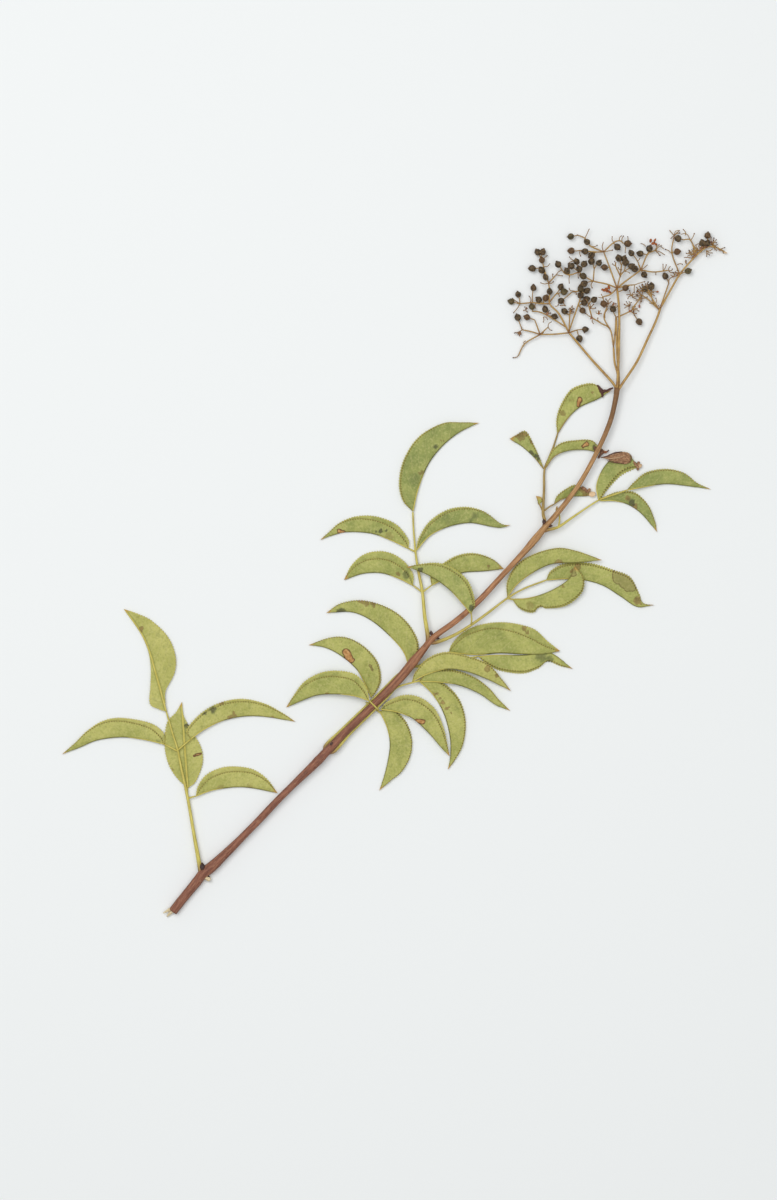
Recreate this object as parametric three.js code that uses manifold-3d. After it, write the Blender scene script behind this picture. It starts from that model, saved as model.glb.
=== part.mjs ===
// Elderberry cutting: a woody stem with seven compound leaves and a fruiting head of
// dried berries, laid flat. Millimetres, +Z up; it lies on the plane z = 0, with the
// cut end of the stem towards -X -Y and the head of berries towards +X +Y.
import * as THREE from 'three';
import { mergeVertices } from 'three/addons/utils/BufferGeometryUtils.js';
import Module from 'manifold-3d';

const wasm = await Module();
wasm.setup();

// ---- Driving dimensions (mm) ------------------------------------------------------
const CENTRE = [-0.22, 0.66]; // middle of the cutting's box in the plan's own numbers

const BLADE = 0.6; // thickness of one layer of a leaflet
const FOLD_GAP = 0.6; // air between the two halves of a folded leaflet at the margin
const FOLD_TURN = 1.2; // breadth of the solid turn of the fold, beside the midrib
const BLADE_END = 1.0; // breadth of a leaflet at its two ends
const ROOT = 1.0; // length of a leaflet's foot that is sunk into its stalk
const TOOTH = 0.3; // half the depth of the saw teeth on a margin
const TOOTH_PITCH = 9.4; // from one tooth to the next along the margin

const STEM_SIDES = 8;
const STALK_SIDES = 4;
const PEDICEL = 0.22; // radius of a berry's own stalk
const BERRY = [1.15, 1.2, 1.3]; // half breadth, half height, half length of a berry
const BERRY_SIDES = 6;
const BERRY_ROWS = 4;
const SHORT_EDGE = 0.03; // an edge a join leaves shorter than this is drawn together
const THIN_NEEDLE = 0.01; // and a triangle thinner than this is turned
const NEEDLE_PASSES = 30;
const SEED = 2027; // start of the repeatable scatter of the berries

// ---- The stem: x, y, height of its axis, radius ----------------------------------
const STEM = [[-83.3, -127.2, 1.7, 1.7], [-78.9, -121.5, 1.65, 1.7], [-74.3, -115.9, 1.7, 1.85],
  [-72, -113, 1.9, 2.45], [-69.2, -110.7, 1.95, 1.7], [-66.5, -108.3, 2.1, 1.4],
  [-58.8, -100.8, 2.4, 1.35], [-51.2, -93, 2.6, 1.35], [-43.7, -85.1, 2.8, 1.33],
  [-36, -77.5, 2.95, 1.33], [-28.5, -70.2, 3.1, 1.45], [-25.8, -67.3, 3.2, 1.7],
  [-23.2, -64.7, 3.3, 1.55], [-18.2, -59.4, 3.4, 1.35], [-5.2, -46.8, 3.7, 1.35],
  [2.4, -38.9, 4.1, 1.38], [7, -33.3, 4.4, 1.6], [11.6, -27.7, 4.5, 1.75],
  [13.8, -24.9, 4.5, 1.95], [16.9, -22.3, 4.4, 1.25], [22.5, -18.3, 4.1, 1.1],
  [27.9, -13.8, 3.7, 1.08], [33.2, -8.8, 3.6, 1.07], [40.5, -0.8, 3.7, 1.07],
  [48, 7.2, 3.8, 1.03], [52.8, 12.7, 3.9, 1.03], [55.1, 15.5, 4, 1.15], [57, 17.9, 4.1, 1.45],
  [59.7, 20.8, 4, 1.05], [64.6, 26.7, 3.8, 0.98], [69.1, 32.9, 3.7, 0.92],
  [72.6, 38.7, 3.7, 0.88], [76, 45.2, 3.7, 0.88], [79.1, 51.8, 3.8, 0.88],
  [81.7, 58.6, 3.9, 0.9], [83.3, 65.6, 4.1, 0.93], [83.9, 70, 4.2, 1.05]];
const PETIOLE_STUB = { path: [[-72, -113.2, 1.9], [-69.3, -115.4, 1.6]], radius: [1.3, 1.1] };
const SPLINTERS = [
  { path: [[-83.6, -126.8, 1.2], [-85.4, -129, 0.7]], radius: [1, 0.35] },
  { path: [[-84.2, -126.2, 1.9], [-86.2, -127.4, 1.4]], radius: [0.7, 0.3] },
];
const BUDS = [
  { at: [-71.4, -109.8, 2.6], size: [1.1, 0.7], turn: 80 },
  { at: [14, -22.2, 4.6], size: [1, 0.7], turn: 100 },
  { at: [16.2, -24.1, 4.6], size: [1, 0.7], turn: -10 },
  { at: [56.6, 19.2, 4.3], size: [0.8, 0.6], turn: 110 },
  { at: [58.3, 18.5, 4.3], size: [0.9, 0.6], turn: 0 },
];

// ---- The seven leaves: plan in x, y; heights of the underside in `lift` -----------
const LEAVES = {
  leaf_1: {
    rachis: [[-73.5, -110.5, 2.3], [-75.5, -97.5, 1.9], [-77.5, -84.5, 1.6], [-80, -74, 1.5],
      [-81.5, -66.5, 1.5], [-83.5, -59, 1.4], [-86, -52, 1.2]],
    radius: [0.75, 0.42],
    stalks: [
      [[-77.5, -84.5, 1.6], [-74.5, -83.5, 1.4]],
      [[-78, -83.5, 1.5], [-78, -79.5, 0.5]],
      [[-81.5, -67, 1.5], [-86.5, -64, 1.4]],
      [[-81.5, -66.5, 1.5], [-76.5, -62, 1.6]],
    ],
    blades: [
      {
        rib: [[-74.5, -83.5], [-69.5, -81.5], [-63.5, -80.5], [-58, -80.5], [-52, -81],
          [-44, -82.5]],
        edge: [[-74, -80], [-71, -76], [-65.5, -73], [-60, -72.5], [-53, -73.5], [-48, -77.5]],
        lift: [1, 0.2, 0, 0.2], fold: [0.68, 0.85],
      },
      {
        rib: [[-77.5, -80.5], [-78.5, -71], [-79, -60.5], [-80, -48.5]],
        edge: [[-81.5, -77.5], [-85, -72], [-86.5, -64.5], [-85.5, -56], [-82, -52]],
        back: [[-74.5, -78], [-72, -71.5], [-73, -65.5], [-76, -59], [-79, -53.5]],
        lift: [0.2, 0, 0, 0],
      },
      {
        rib: [[-86.5, -64], [-94, -62.5], [-102.5, -61.5], [-111.5, -62.5], [-118.5, -65.5],
          [-125, -68]],
        edge: [[-87, -60], [-92, -56], [-102.5, -54.5], [-110, -55.5], [-116, -59],
          [-120.5, -63.5]],
        lift: [1.1, 0.3, 0, 0], fold: [0.7, 1],
      },
      {
        rib: [[-76.5, -62], [-72, -59], [-65, -55.5], [-56, -53.5], [-47.5, -54], [-37, -55.5]],
        edge: [[-78, -58.5], [-72, -52], [-65, -48.5], [-57, -47], [-49, -49], [-42.5, -52]],
        lift: [1.2, 0.5, 0, 0.1], fold: [0.85, 0.95],
      },
      {
        rib: [[-86, -52], [-88, -44], [-90, -36], [-92, -29.5], [-95.5, -22.5], [-102, -13]],
        edge: [[-86, -48], [-86, -44], [-83, -37.5], [-82.5, -31], [-85, -24], [-91.5, -17.5],
          [-97, -15]],
        back: [[-88.5, -51], [-92, -49], [-92, -42], [-91.5, -35.5], [-93, -28.5], [-96, -21]],
        lift: [0.9, 0.3, 0, 0],
      },
    ],
  },
  leaf_2: {
    rachis: [[-26, -64, 1.7], [-21, -59.5, 1.1], [-15.5, -54, 0.9], [-10.5, -48.5, 0.9],
      [-8, -46, 0.8], [-3.5, -42, 0.8], [1, -38, 0.8], [5.5, -35, 0.8]],
    radius: [0.55, 0.42],
    stalks: [
      [[-10.5, -48.5, 0.9], [-7.5, -50.5, 0.9], [-4.5, -53, 0.9]],
      [[5.5, -35, 0.8], [13, -33.5, 0.7], [21, -29.5, 0.8]],
      [[5.5, -35, 0.8], [17.5, -34, 0.6], [31.5, -31, 0.8]],
    ],
    blades: [
      {
        rib: [[-8.5, -46.5], [-10.5, -42], [-14, -36], [-20, -31], [-26, -27.5], [-32.5, -27]],
        edge: [[-6.5, -44], [-5, -39.5], [-6, -33], [-11, -27.5], [-17.5, -24], [-24, -24]],
        lift: [0.4, 0.1, 0, 0.1], fold: [0.9, 1],
      },
      {
        rib: [[-5.5, -51.5], [-2.5, -57.5], [-1.5, -64], [-2.5, -70.5], [-4, -76.5],
          [-5.5, -81.5]],
        edge: [[-1, -50.5], [4, -55], [6.5, -61.5], [6, -68.5], [3, -74.5], [-1.5, -78]],
        lift: [0.4, 0, 0, 0], fold: [0.92, 1],
      },
      {
        rib: [[5.5, -35], [3.5, -29], [-1.5, -23.5], [-8.5, -17.5], [-16, -14.5], [-25.5, -14.5]],
        edge: [[8.5, -31], [9, -25], [4.5, -17.5], [-2.5, -12.5], [-11.5, -10], [-20, -11]],
        lift: [0.4, 0, 0, 0.2], fold: [0.9, 1],
      },
      {
        rib: [[20.5, -29.5], [30.5, -30.5], [40, -30], [48.5, -30], [56, -30], [62.5, -29]],
        edge: [[22, -26.5], [26.5, -21.5], [33.5, -19], [42.5, -18.5], [52.5, -20.5], [58, -25.5]],
        lift: [0.3, 0.1, 0, 0.2], fold: [0.78, 0.6],
      },
      {
        rib: [[31.5, -31], [40, -31], [49.5, -31], [57, -31.5], [62.5, -33], [67.5, -36]],
        edge: [[35, -34], [40, -36.5], [48.5, -37.5], [54.5, -35.5], [58, -33.5], [63, -35.5]],
        lift: [0.3, 0, 0, 0.2], fold: [0.9, 0.9],
      },
    ],
  },
  leaf_3: {
    rachis: [[-21.5, -67.5, 2.7], [-16, -61.5, 2.4], [-10.5, -55.5, 2.3], [-5.5, -51, 3.1],
      [-1.5, -47, 3], [2.5, -44, 2.7], [7, -41, 2.8], [10, -40, 3.2]],
    radius: [0.6, 0.42],
    stalks: [
      [[-5.5, -51, 3.1], [-6, -50.5, 4.6], [-7.5, -49.5, 5.7], [-9, -47.5, 5.7]],
    ],
    blades: [
      {
        rib: [[-9, -47.5], [-14.5, -46], [-21.5, -45], [-28.5, -45.5], [-34.5, -47.5],
          [-40.5, -50.5]],
        edge: [[-10.5, -42], [-14.5, -37.5], [-21.5, -36.5], [-28, -37.5], [-34, -40.5],
          [-37.5, -45.5]],
        lift: [5.2, 3.6, 1.2, 0.1], fold: [0.72, 1],
      },
      {
        rib: [[-5, -51], [1, -52], [7, -54.5], [13, -60], [17.5, -65], [21, -68.5]],
        edge: [[-2.5, -48], [3.5, -45.5], [9.5, -46.5], [15.5, -50.5], [18.5, -57.5], [20, -63.5]],
        lift: [2.5, 2.3, 1.4, 2.2], fold: [0.72, 0.9],
      },
      {
        rib: [[7, -40.5], [12.5, -37.5], [19.5, -36], [26.5, -36.5], [35, -39.5], [44, -44]],
        edge: [[8, -37], [12.5, -32], [19, -29.5], [27, -30.5], [35.5, -34], [40.5, -40]],
        lift: [2.3, 4.3, 2.9, 0.6], fold: [0.9, 0.95],
      },
      {
        rib: [[9.5, -40.5], [17.5, -40.5], [25, -42], [32.5, -45], [38.5, -49.5], [44, -51.5]],
        edge: [[13, -36.5], [21, -36], [29.5, -38.5], [35.5, -43], [39.5, -47.5]],
        lift: [2.3, 2.2, 1.2, 0.1], fold: [0.9, 1],
      },
      {
        rib: [[9, -40], [14.5, -45], [18.5, -52], [21, -60], [21.5, -67.5], [20.5, -74]],
        edge: [[13.5, -39], [20, -42], [25, -48], [27, -56], [26, -64], [23, -70]],
        lift: [2, 0.1, 0, 0], fold: [0.88, 1],
      },
    ],
  },
  leaf_4: {
    rachis: [[12, -22.5, 4.5], [11.5, -15.5, 3.2], [10.5, -7, 2.2], [9, 1.5, 1.7], [8, 8.5, 1.5],
      [7.5, 16.5, 1.2], [7, 23.5, 1.1]],
    radius: [0.75, 0.42],
    stalks: [
      [[10.5, -7, 2.2], [7, -4.5, 1.7]],
      [[10.5, -7, 2.2], [14, -4.5, 1.7]],
      [[8, 8.5, 1.5], [5.5, 9.5, 1.3]],
    ],
    blades: [
      {
        rib: [[7, -4.5], [2, -1.5], [-5, 0.5], [-12, 0], [-19, -2.5]],
        edge: [[7, 0.5], [2.5, 6], [-4, 8.5], [-11, 7.5], [-16, 3.5]],
        lift: [1.3, 0.3, 0, 0], fold: [0.7, 0.85],
      },
      {
        rib: [[14, -4.5], [19.5, -1.5], [26.5, 0.5], [34, 1], [41.5, 2]],
        edge: [[14, 0.5], [19, 4.5], [24.5, 7], [30.5, 8], [37, 5.5]],
        lift: [1.3, 0.3, 0, 0.2], fold: [0.9, 1],
      },
      {
        rib: [[5.5, 9.5], [-1, 12.5], [-8.5, 15.5], [-17, 16], [-22.5, 15], [-28, 13]],
        edge: [[5.5, 13], [1, 18.5], [-7, 21.5], [-14.5, 21.5], [-20.5, 19.5], [-25, 15.5]],
        lift: [0.9, 0.2, 0, 0], fold: [0.75, 0.95],
      },
      {
        rib: [[8.5, 9], [13.5, 14.5], [20.5, 18], [28.5, 19.5], [36.5, 18], [40.5, 17.5],
          [44, 18.5]],
        edge: [[9.5, 13.5], [13, 19.5], [19.5, 24], [27, 25.5], [34, 23.5], [39.5, 19.5],
          [42, 18.5]],
        lift: [0.9, 0.2, 0, 0.3], fold: [0.9, 1],
      },
      {
        rib: [[7, 23.5], [9, 32], [13, 41.5], [18.5, 48.5], [25, 53.5], [32, 57]],
        edge: [[3, 28], [2, 34.5], [4, 43.5], [9.5, 51.5], [18, 56.5], [25.5, 57]],
        lift: [0.7, 0.1, 0, 0.1], fold: [0.95, 1],
      },
    ],
  },
  leaf_5: {
    rachis: [[16.5, -26, 4.1], [22, -23.5, 3.4], [29, -19, 3], [36, -14.5, 2.4], [42.5, -9, 1.9],
      [49, -5.5, 1.5], [57.5, -2.5, 1.2]],
    radius: [0.65, 0.4],
    stalks: [
      [[29, -19, 3], [29, -17.5, 4.7], [29, -14.5, 5.6]],
      [[42.5, -9, 1.9], [45, -9.5, 1.7]],
    ],
    blades: [
      {
        rib: [[29, -15], [25.5, -11], [20.5, -5.5], [14.5, -1.5], [9.5, 1], [4.5, 2.5]],
        edge: [[30.5, -11], [28.5, -3.5], [23.5, 1.5], [17, 4], [10, 4]],
        lift: [5.1, 5, 3.1, 2.9], fold: [0.85, 0.85],
      },
      {
        rib: [[42.5, -9], [46.5, -4], [52.5, 0.5], [59.5, 4], [68.5, 4.5], [78.5, 5]],
        edge: [[42.5, -3], [46, 3], [52.5, 7.5], [61.5, 9.5], [69, 8.5]],
        lift: [1.5, 1.6, 2.2, 1.9], fold: [0.9, 1],
      },
      {
        rib: [[44.5, -9.5], [50, -9], [57, -7], [63, -4], [66.5, -1], [68, 3]],
        edge: [[47, -13], [52, -14.5], [57.5, -12.5], [65, -12], [71, -7], [71.5, -1]],
        lift: [1.3, 0.4, 2, 2.3], fold: [0.9, 0.95],
      },
      {
        rib: [[57.5, -2.5], [65, -2], [72.5, -2.5], [79, -4.5], [85.5, -8.5], [91.5, -12.5],
          [98, -11.5]],
        edge: [[59, 1.5], [65, 4], [74, 4], [82, 1.5], [89, -1], [92.5, -7], [94, -11]],
        lift: [0.8, 0, 0, 0.1], fold: [0.92, 0.9],
      },
    ],
  },
  leaf_6: {
    rachis: [[55.5, 21, 3.7], [56, 23.5, 3], [56.5, 31.5, 2], [56.5, 39, 1.4], [58.5, 44, 0.5],
      [60, 48.5, 0.5], [62, 53.5, 0.7]],
    radius: [0.6, 0.38],
    stalks: [
      [[56, 23.5, 3], [54.5, 27, 2.2]],
      [[56, 23.5, 3], [58.5, 25.5, 1.6], [60.5, 26.5, 0.9]],
    ],
    blades: [
      {
        rib: [[54.5, 26], [54, 28], [53.5, 29.5]],
        edge: [[56, 27.5], [55.5, 29]],
        lift: [1.9, 1.8, 1.9], fold: [1, 1],
      },
      {
        rib: [[60, 26], [63, 28], [67.5, 29], [71.5, 29.5], [75.5, 29.5]],
        edge: [[61.5, 29.5], [65, 32], [68.5, 33.5], [73, 31]],
        lift: [0.4, 0.1, 0.1, 0.3], fold: [0.95, 1],
      },
      {
        rib: [[56.5, 39.5], [53, 44], [48.5, 48], [43.5, 51]],
        edge: [[55.5, 42.5], [53, 47.5], [50, 54], [46, 52.5]],
        lift: [0.8, 0.1, 0, 0.5], fold: [0.9, 0.8],
      },
      {
        rib: [[57, 40], [60.5, 44.5], [66, 46.5], [72.5, 47], [76.5, 46], [80, 46]],
        edge: [[59, 45.5], [62.5, 49], [68.5, 50.5], [74.5, 50.5], [77, 48.5]],
        lift: [1.1, 1.3, 0.3, 0.2], fold: [0.9, 1],
      },
      {
        rib: [[61.5, 53], [65.5, 58.5], [70, 63], [76.5, 66], [82, 69]],
        edge: [[61.5, 58.5], [63, 63.5], [67, 69.5], [73, 72], [77, 71], [79, 69]],
        lift: [0.3, 0.1, 0.1, 0.5], fold: [0.9, 0.95],
      },
    ],
  },
  leaf_7: {
    rachis: [[59, 16.5, 3.9], [62, 17.5, 3.2], [67, 21, 2.4], [73.5, 25.5, 1.6], [77, 28, 1.2]],
    radius: [0.6, 0.4],
    stalks: [
      [[62, 17.5, 3.2], [62.5, 20.5, 1.6], [62, 23, 0.8]],
      [[77, 28, 1.2], [79, 28.5, 2.2], [82.5, 30, 2.8], [87.5, 31.5, 2.8]],
    ],
    blades: [
      {
        rib: [[62, 22.5], [62, 24], [61.5, 26]],
        edge: [[61, 23.5], [61, 24.5]],
        lift: [0.4, 0.2, 0.2], fold: [1, 1],
      },
      {
        rib: [[77, 27.5], [80.5, 32], [85, 37], [89, 39], [93, 40.5]],
        edge: [[76.5, 33], [78.5, 39], [82, 43.5], [87.5, 46], [90.5, 42.5]],
        lift: [0.7, 0.1, 0, 0.3], fold: [0.92, 0.8],
      },
      {
        rib: [[87.5, 31.5], [94.5, 33], [102.5, 34], [110, 33.5], [119.5, 32]],
        edge: [[90.5, 34.5], [95, 38.5], [102.5, 39.5], [109.5, 38], [114.5, 34.5]],
        lift: [2.2, 0.6, 0, 0], fold: [0.9, 1],
      },
      {
        rib: [[77.5, 27.5], [83, 27.5], [88.5, 26], [93.5, 22.5], [99, 16]],
        edge: [[80, 29.5], [85, 31], [91, 30.5], [96, 26], [98.5, 20]],
        lift: [0.7, 0, 0, 0], fold: [0.88, 1],
      },
    ],
  },
};

// ---- The head of berries ----------------------------------------------------------
// limbs: a radius at each end, and a path. fans: x, y, z of the point the stalks leave
// from, aim and spread in degrees, reach, then how many with a berry and how many bare.
const SPRAYS = {
  spray_left: {
    limbs: [
      { r: [0.62, 0.52], path: [[82.5, 71.5, 4.2], [74.5, 80.5, 3.2], [66, 91, 2.6]] },
      { r: [0.42, 0.38], path: [[66, 91, 2.6], [60.5, 90.5, 2.2], [55, 90, 2]] },
      { r: [0.38, 0.34], path: [[55, 90, 2], [51.5, 91.5, 1.8], [48.5, 92, 1.6]] },
      { r: [0.38, 0.34], path: [[55, 90, 2], [49.5, 87, 1.2], [47, 82, 0.8]] },
      { r: [0.38, 0.34], path: [[55, 90, 2], [54, 93, 2.4], [53, 95.5, 2.6]] },
      { r: [0.38, 0.34], path: [[55, 90, 2], [58, 93, 2.6]] },
      { r: [0.48, 0.36], path: [[66, 91, 2.6], [62, 98, 2.8], [58.5, 101.5, 2.8], [58.5, 106.5, 2.6],
        [58, 109.5, 2.5]] },
      { r: [0.38, 0.34], path: [[65, 93, 2.6], [57.5, 97.5, 2], [54.5, 99, 1.8], [52, 99, 1.6]] },
      { r: [0.38, 0.34], path: [[58.5, 101.5, 2.8], [55, 102, 2.2], [52, 102, 2], [47.5, 102, 1.6]] },
      { r: [0.38, 0.34], path: [[58, 109.5, 2.5], [57, 114, 2.1], [56, 118, 1.9], [55, 119.5, 1.8]] },
      { r: [0.38, 0.34], path: [[58, 109.5, 2.5], [61, 112.5, 1.5]] },
      { r: [0.38, 0.34], path: [[58.5, 102.5, 2.7], [61.5, 106, 2]] },
      { r: [0.38, 0.34], path: [[66, 91, 2.6], [66, 97.5, 1.8], [66.5, 100, 1.4]] },
      { r: [0.4, 0.34], path: [[66, 91.5, 2.5], [69, 100, 1.7], [70.5, 105, 1.6], [71.5, 108.5, 1.5]] },
      { r: [0.38, 0.34], path: [[71, 106.5, 1.55], [67, 106.5, 1.4]] },
      { r: [0.38, 0.34], path: [[66, 91, 2.6], [69, 92, 2]] },
    ],
    fans: [
      [48.5, 92, 1.6, 110, 0, 4.9, 1, 0],
      [48.5, 92, 1.6, 205, 0, 2.6, 0, 1],
      [47, 82, 0.8, 200, 0, 2, 0, 1],
      [53, 95.5, 2.6, 163, 0, 3, 1, 0],
      [58, 93, 2.6, 60, 0, 2.4, 0, 1],
      [58.5, 104.5, 2.7, 88, 0, 2, 1, 0],
      [57.5, 97.5, 2, 50, 124, 2.5, 2, 0],
      [52, 99, 1.6, 100, 0, 1.8, 1, 0],
      [47.5, 102, 1.6, 168, 127, 3.6, 2, 1],
      [52, 102, 2, 89, 0, 5.6, 1, 0],
      [56, 102, 2.4, 103, 67, 2.2, 2, 0],
      [58, 109.5, 2.5, 120, 0, 2.3, 1, 0],
      [58, 109.5, 2.5, 175, 0, 3.6, 0, 1],
      [57, 112.5, 2.2, 129, 0, 2.3, 1, 0],
      [56.5, 115, 2, 180, 0, 4.3, 1, 0],
      [56, 116.5, 2, 105, 0, 1.7, 1, 0],
      [55.5, 119, 1.8, 92, 46, 2.4, 2, 0],
      [61, 112.5, 1.5, 40, 0, 2.5, 0, 1],
      [61, 105.5, 2, 40, 42, 3.1, 2, 0],
      [66, 97.5, 1.8, 142, 0, 2.6, 1, 0],
      [66.5, 98.5, 1.6, 70, 0, 2.4, 0, 1],
      [69.5, 101, 1.65, -10, 78, 2.4, 2, 0],
      [70, 102.5, 1.6, 52, 57, 2.5, 2, 0],
      [71, 105.5, 1.5, 70, 76, 2.1, 2, 0],
      [67, 106.5, 1.6, 219, 0, 5.3, 1, 0],
      [69, 92, 2, -33, 72, 3.1, 2, 0],
    ],
  },
  spray_middle: {
    limbs: [
      { r: [0.62, 0.55], path: [[84, 72, 4.3], [84.5, 80.5, 4], [84.5, 97.5, 3.8], [84, 107.5, 3.6]] },
      { r: [0.42, 0.36], path: [[84, 107.5, 3.6], [80.5, 116.5, 3.2], [79, 121, 3]] },
      { r: [0.38, 0.34], path: [[79, 121, 3], [74, 123.5, 2.6], [72, 126.5, 2.3], [69, 127.5, 2]] },
      { r: [0.38, 0.34], path: [[79, 121, 3], [75.5, 121.5, 2.2], [70, 122, 1.8]] },
      { r: [0.38, 0.34], path: [[79, 121, 3], [82.5, 124.5, 2.6], [85, 125.5, 2.4],
        [86.5, 124.5, 2.2]] },
      { r: [0.4, 0.34], path: [[84, 107.5, 3.6], [80, 109, 4], [75, 110, 4.4], [71.5, 112, 4.4],
        [69.5, 113.5, 4.4]] },
      { r: [0.38, 0.34], path: [[75, 110, 4.4], [75.5, 114.5, 3.4]] },
      { r: [0.38, 0.34], path: [[69.5, 113.5, 4.4], [66, 112.5, 4.1], [64, 113, 3.9]] },
      { r: [0.38, 0.34], path: [[84, 107.5, 3.6], [85, 112, 4], [86.5, 114, 3.8]] },
      { r: [0.38, 0.34], path: [[85, 112, 4], [85.5, 116, 2.8]] },
      { r: [0.38, 0.34], path: [[85, 112, 4], [83.5, 115.5, 4.4]] },
      { r: [0.44, 0.38], path: [[84, 107.5, 3.6], [87, 110, 3.2], [93, 114.5, 2.8]] },
      { r: [0.38, 0.34], path: [[93, 114.5, 2.8], [95.5, 120, 2.4], [98, 122, 2.2]] },
      { r: [0.38, 0.34], path: [[93, 114.5, 2.8], [92, 117.5, 3.4]] },
      { r: [0.38, 0.34], path: [[93, 114.5, 2.8], [98, 113.5, 2.4], [103.5, 114.5, 2.8]] },
      { r: [0.38, 0.34], path: [[84, 107.5, 3.6], [81.5, 105, 3.6], [78.5, 104, 3.4]] },
      { r: [0.38, 0.34], path: [[84, 107.5, 3.6], [87.5, 108.5, 4.2], [90.5, 108.5, 4.4]] },
      { r: [0.55, 0.5], path: [[84, 74.5, 4.2], [83, 79.5, 3.6], [82.5, 85.5, 3]] },
      { r: [0.4, 0.34], path: [[82.5, 85.5, 3], [81.5, 92, 2.6], [77.5, 94.5, 2.6], [74.5, 96.5, 2.8]] },
      { r: [0.38, 0.34], path: [[74.5, 96.5, 2.8], [73, 101.5, 3.4]] },
      { r: [0.38, 0.34], path: [[81.5, 92, 2.6], [79, 96.5, 3.2], [80, 100.5, 3.6]] },
      { r: [0.38, 0.34], path: [[82.5, 85.5, 3], [83.5, 92, 2.6], [83.5, 97, 2.4]] },
      { r: [0.38, 0.34], path: [[83.5, 96.5, 2.4], [86, 97.5, 2.1], [89, 99, 1.9], [90.5, 97.5, 1.8]] },
      { r: [0.38, 0.34], path: [[89, 99, 1.9], [91, 101.5, 2.2], [93, 104, 2.2]] },
    ],
    fans: [
      [81, 115.5, 3.2, 184, 0, 1.9, 1, 0],
      [69, 127.5, 2, 192, 0, 2.7, 1, 0],
      [74, 123.5, 2.6, 128, 0, 1.9, 1, 0],
      [72, 126.5, 2.3, 63, 0, 4.3, 0, 1],
      [76, 121.5, 2.4, 213, 0, 2.3, 1, 0],
      [74, 121.5, 2, 178, 0, 1.9, 1, 0],
      [70, 122, 1.8, 185, 0, 3.3, 1, 0],
      [79, 121, 3, 88, 0, 4, 0, 1],
      [82.5, 124.5, 2.6, -50, 0, 2.3, 1, 0],
      [86.5, 124.5, 2.2, 2, 0, 1.8, 1, 0],
      [86, 125, 2.3, 78, 0, 2.4, 0, 1],
      [75.5, 114.5, 3.4, 81, 59, 2.9, 2, 0],
      [75, 110, 4.4, 193, 0, 3.4, 1, 0],
      [73, 111.5, 4.4, 160, 0, 1.8, 1, 0],
      [69.5, 113.5, 4.4, 100, 92, 3.8, 3, 0],
      [70, 113, 4.4, 105, 0, 1.8, 1, 0],
      [66, 112.5, 4.1, 121, 0, 1.8, 1, 0],
      [66, 112.5, 4.1, 262, 0, 3.2, 0, 1],
      [64, 113, 3.9, 126, 0, 4, 1, 0],
      [85.5, 116, 2.8, 88, 40, 2.9, 2, 0],
      [86.5, 114, 3.8, 56, 40, 3.5, 2, 0],
      [83.5, 115.5, 4.4, 100, 0, 2, 0, 1],
      [93, 114.5, 2.8, 165, 0, 2.4, 1, 0],
      [93, 114.5, 2.8, -54, 0, 2.1, 1, 0],
      [95.5, 120, 2.4, 120, 104, 2.6, 2, 0],
      [98, 122, 2.2, 5, 100, 3, 0, 2],
      [92, 117.5, 3.4, 128, 0, 4.4, 1, 0],
      [101.5, 114, 2.6, 60, 0, 2.6, 0, 1],
      [78.5, 104, 3.4, -84, 0, 2.4, 1, 0],
      [84, 106, 3.7, 29, 0, 3.2, 1, 0],
      [90.5, 108.5, 4.4, -40, 110, 3.4, 0, 2],
      [74.5, 96.5, 2.8, 150, 0, 2.6, 0, 1],
      [73, 101.5, 3.4, 37, 0, 2.8, 1, 0],
      [73, 101.5, 3.4, 120, 0, 2.2, 0, 1],
      [80, 100.5, 3.6, 90, 80, 2.4, 0, 2],
      [83.5, 97, 2.4, 108, 0, 3.2, 1, 0],
      [90.5, 97.5, 1.8, -54, 0, 3.4, 1, 0],
      [88.5, 99, 2, 80, 0, 3, 0, 1],
      [93, 104, 2.2, 60, 90, 2.4, 0, 2],
    ],
  },
  spray_right: {
    limbs: [
      { r: [0.62, 0.55], path: [[85.5, 71, 4.2], [91.5, 79.5, 3], [95.5, 88.5, 2.4], [98.5, 95, 2.2],
        [100.5, 100, 2.2]] },
      { r: [0.5, 0.34], path: [[100.5, 100, 2.2], [103.5, 105.5, 2.2], [107.5, 113, 2.2],
        [113, 119, 2.2], [117, 122.5, 2.2], [120.5, 123.5, 2], [124.5, 121.5, 1.4]] },
      { r: [0.38, 0.34], path: [[100, 99.5, 2.2], [96, 103.5, 1.8], [93.5, 105, 1.4]] },
      { r: [0.38, 0.34], path: [[100, 99.5, 2.2], [97, 104, 2.6], [95.5, 107.5, 2.8]] },
      { r: [0.38, 0.34], path: [[100.5, 101, 2.2], [103.5, 109.5, 1.4]] },
      { r: [0.38, 0.34], path: [[107.5, 113, 2.2], [104.5, 121, 1.8], [105.5, 127.5, 1.6]] },
      { r: [0.38, 0.34], path: [[114, 120, 2.2], [111.5, 125.5, 2.6], [109, 126, 2.4]] },
    ],
    fans: [
      [93.5, 105, 1.4, 140, 110, 3.2, 0, 2],
      [97, 104, 2.6, 109, 44, 3.8, 2, 0],
      [95.5, 107.5, 2.8, 110, 60, 2.2, 0, 2],
      [103.5, 109.5, 1.4, 119, 0, 3, 1, 0],
      [103.5, 109.5, 1.4, 70, 0, 2.6, 0, 1],
      [107.5, 113, 2.2, 21, 0, 3.2, 1, 0],
      [104.5, 121, 1.8, 7, 0, 2, 1, 0],
      [105.5, 127.5, 1.6, 80, 100, 2.2, 0, 2],
      [109, 126, 2.4, 169, 0, 2.2, 1, 0],
      [112.5, 119, 2.2, 110, 120, 3, 0, 3],
      [115, 121, 2.2, 110, 120, 2.8, 0, 2],
      [117, 122.5, 2.2, 90, 52, 2.1, 2, 0],
      [117.5, 124.5, 2.4, 81, 0, 3.1, 1, 0],
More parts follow.
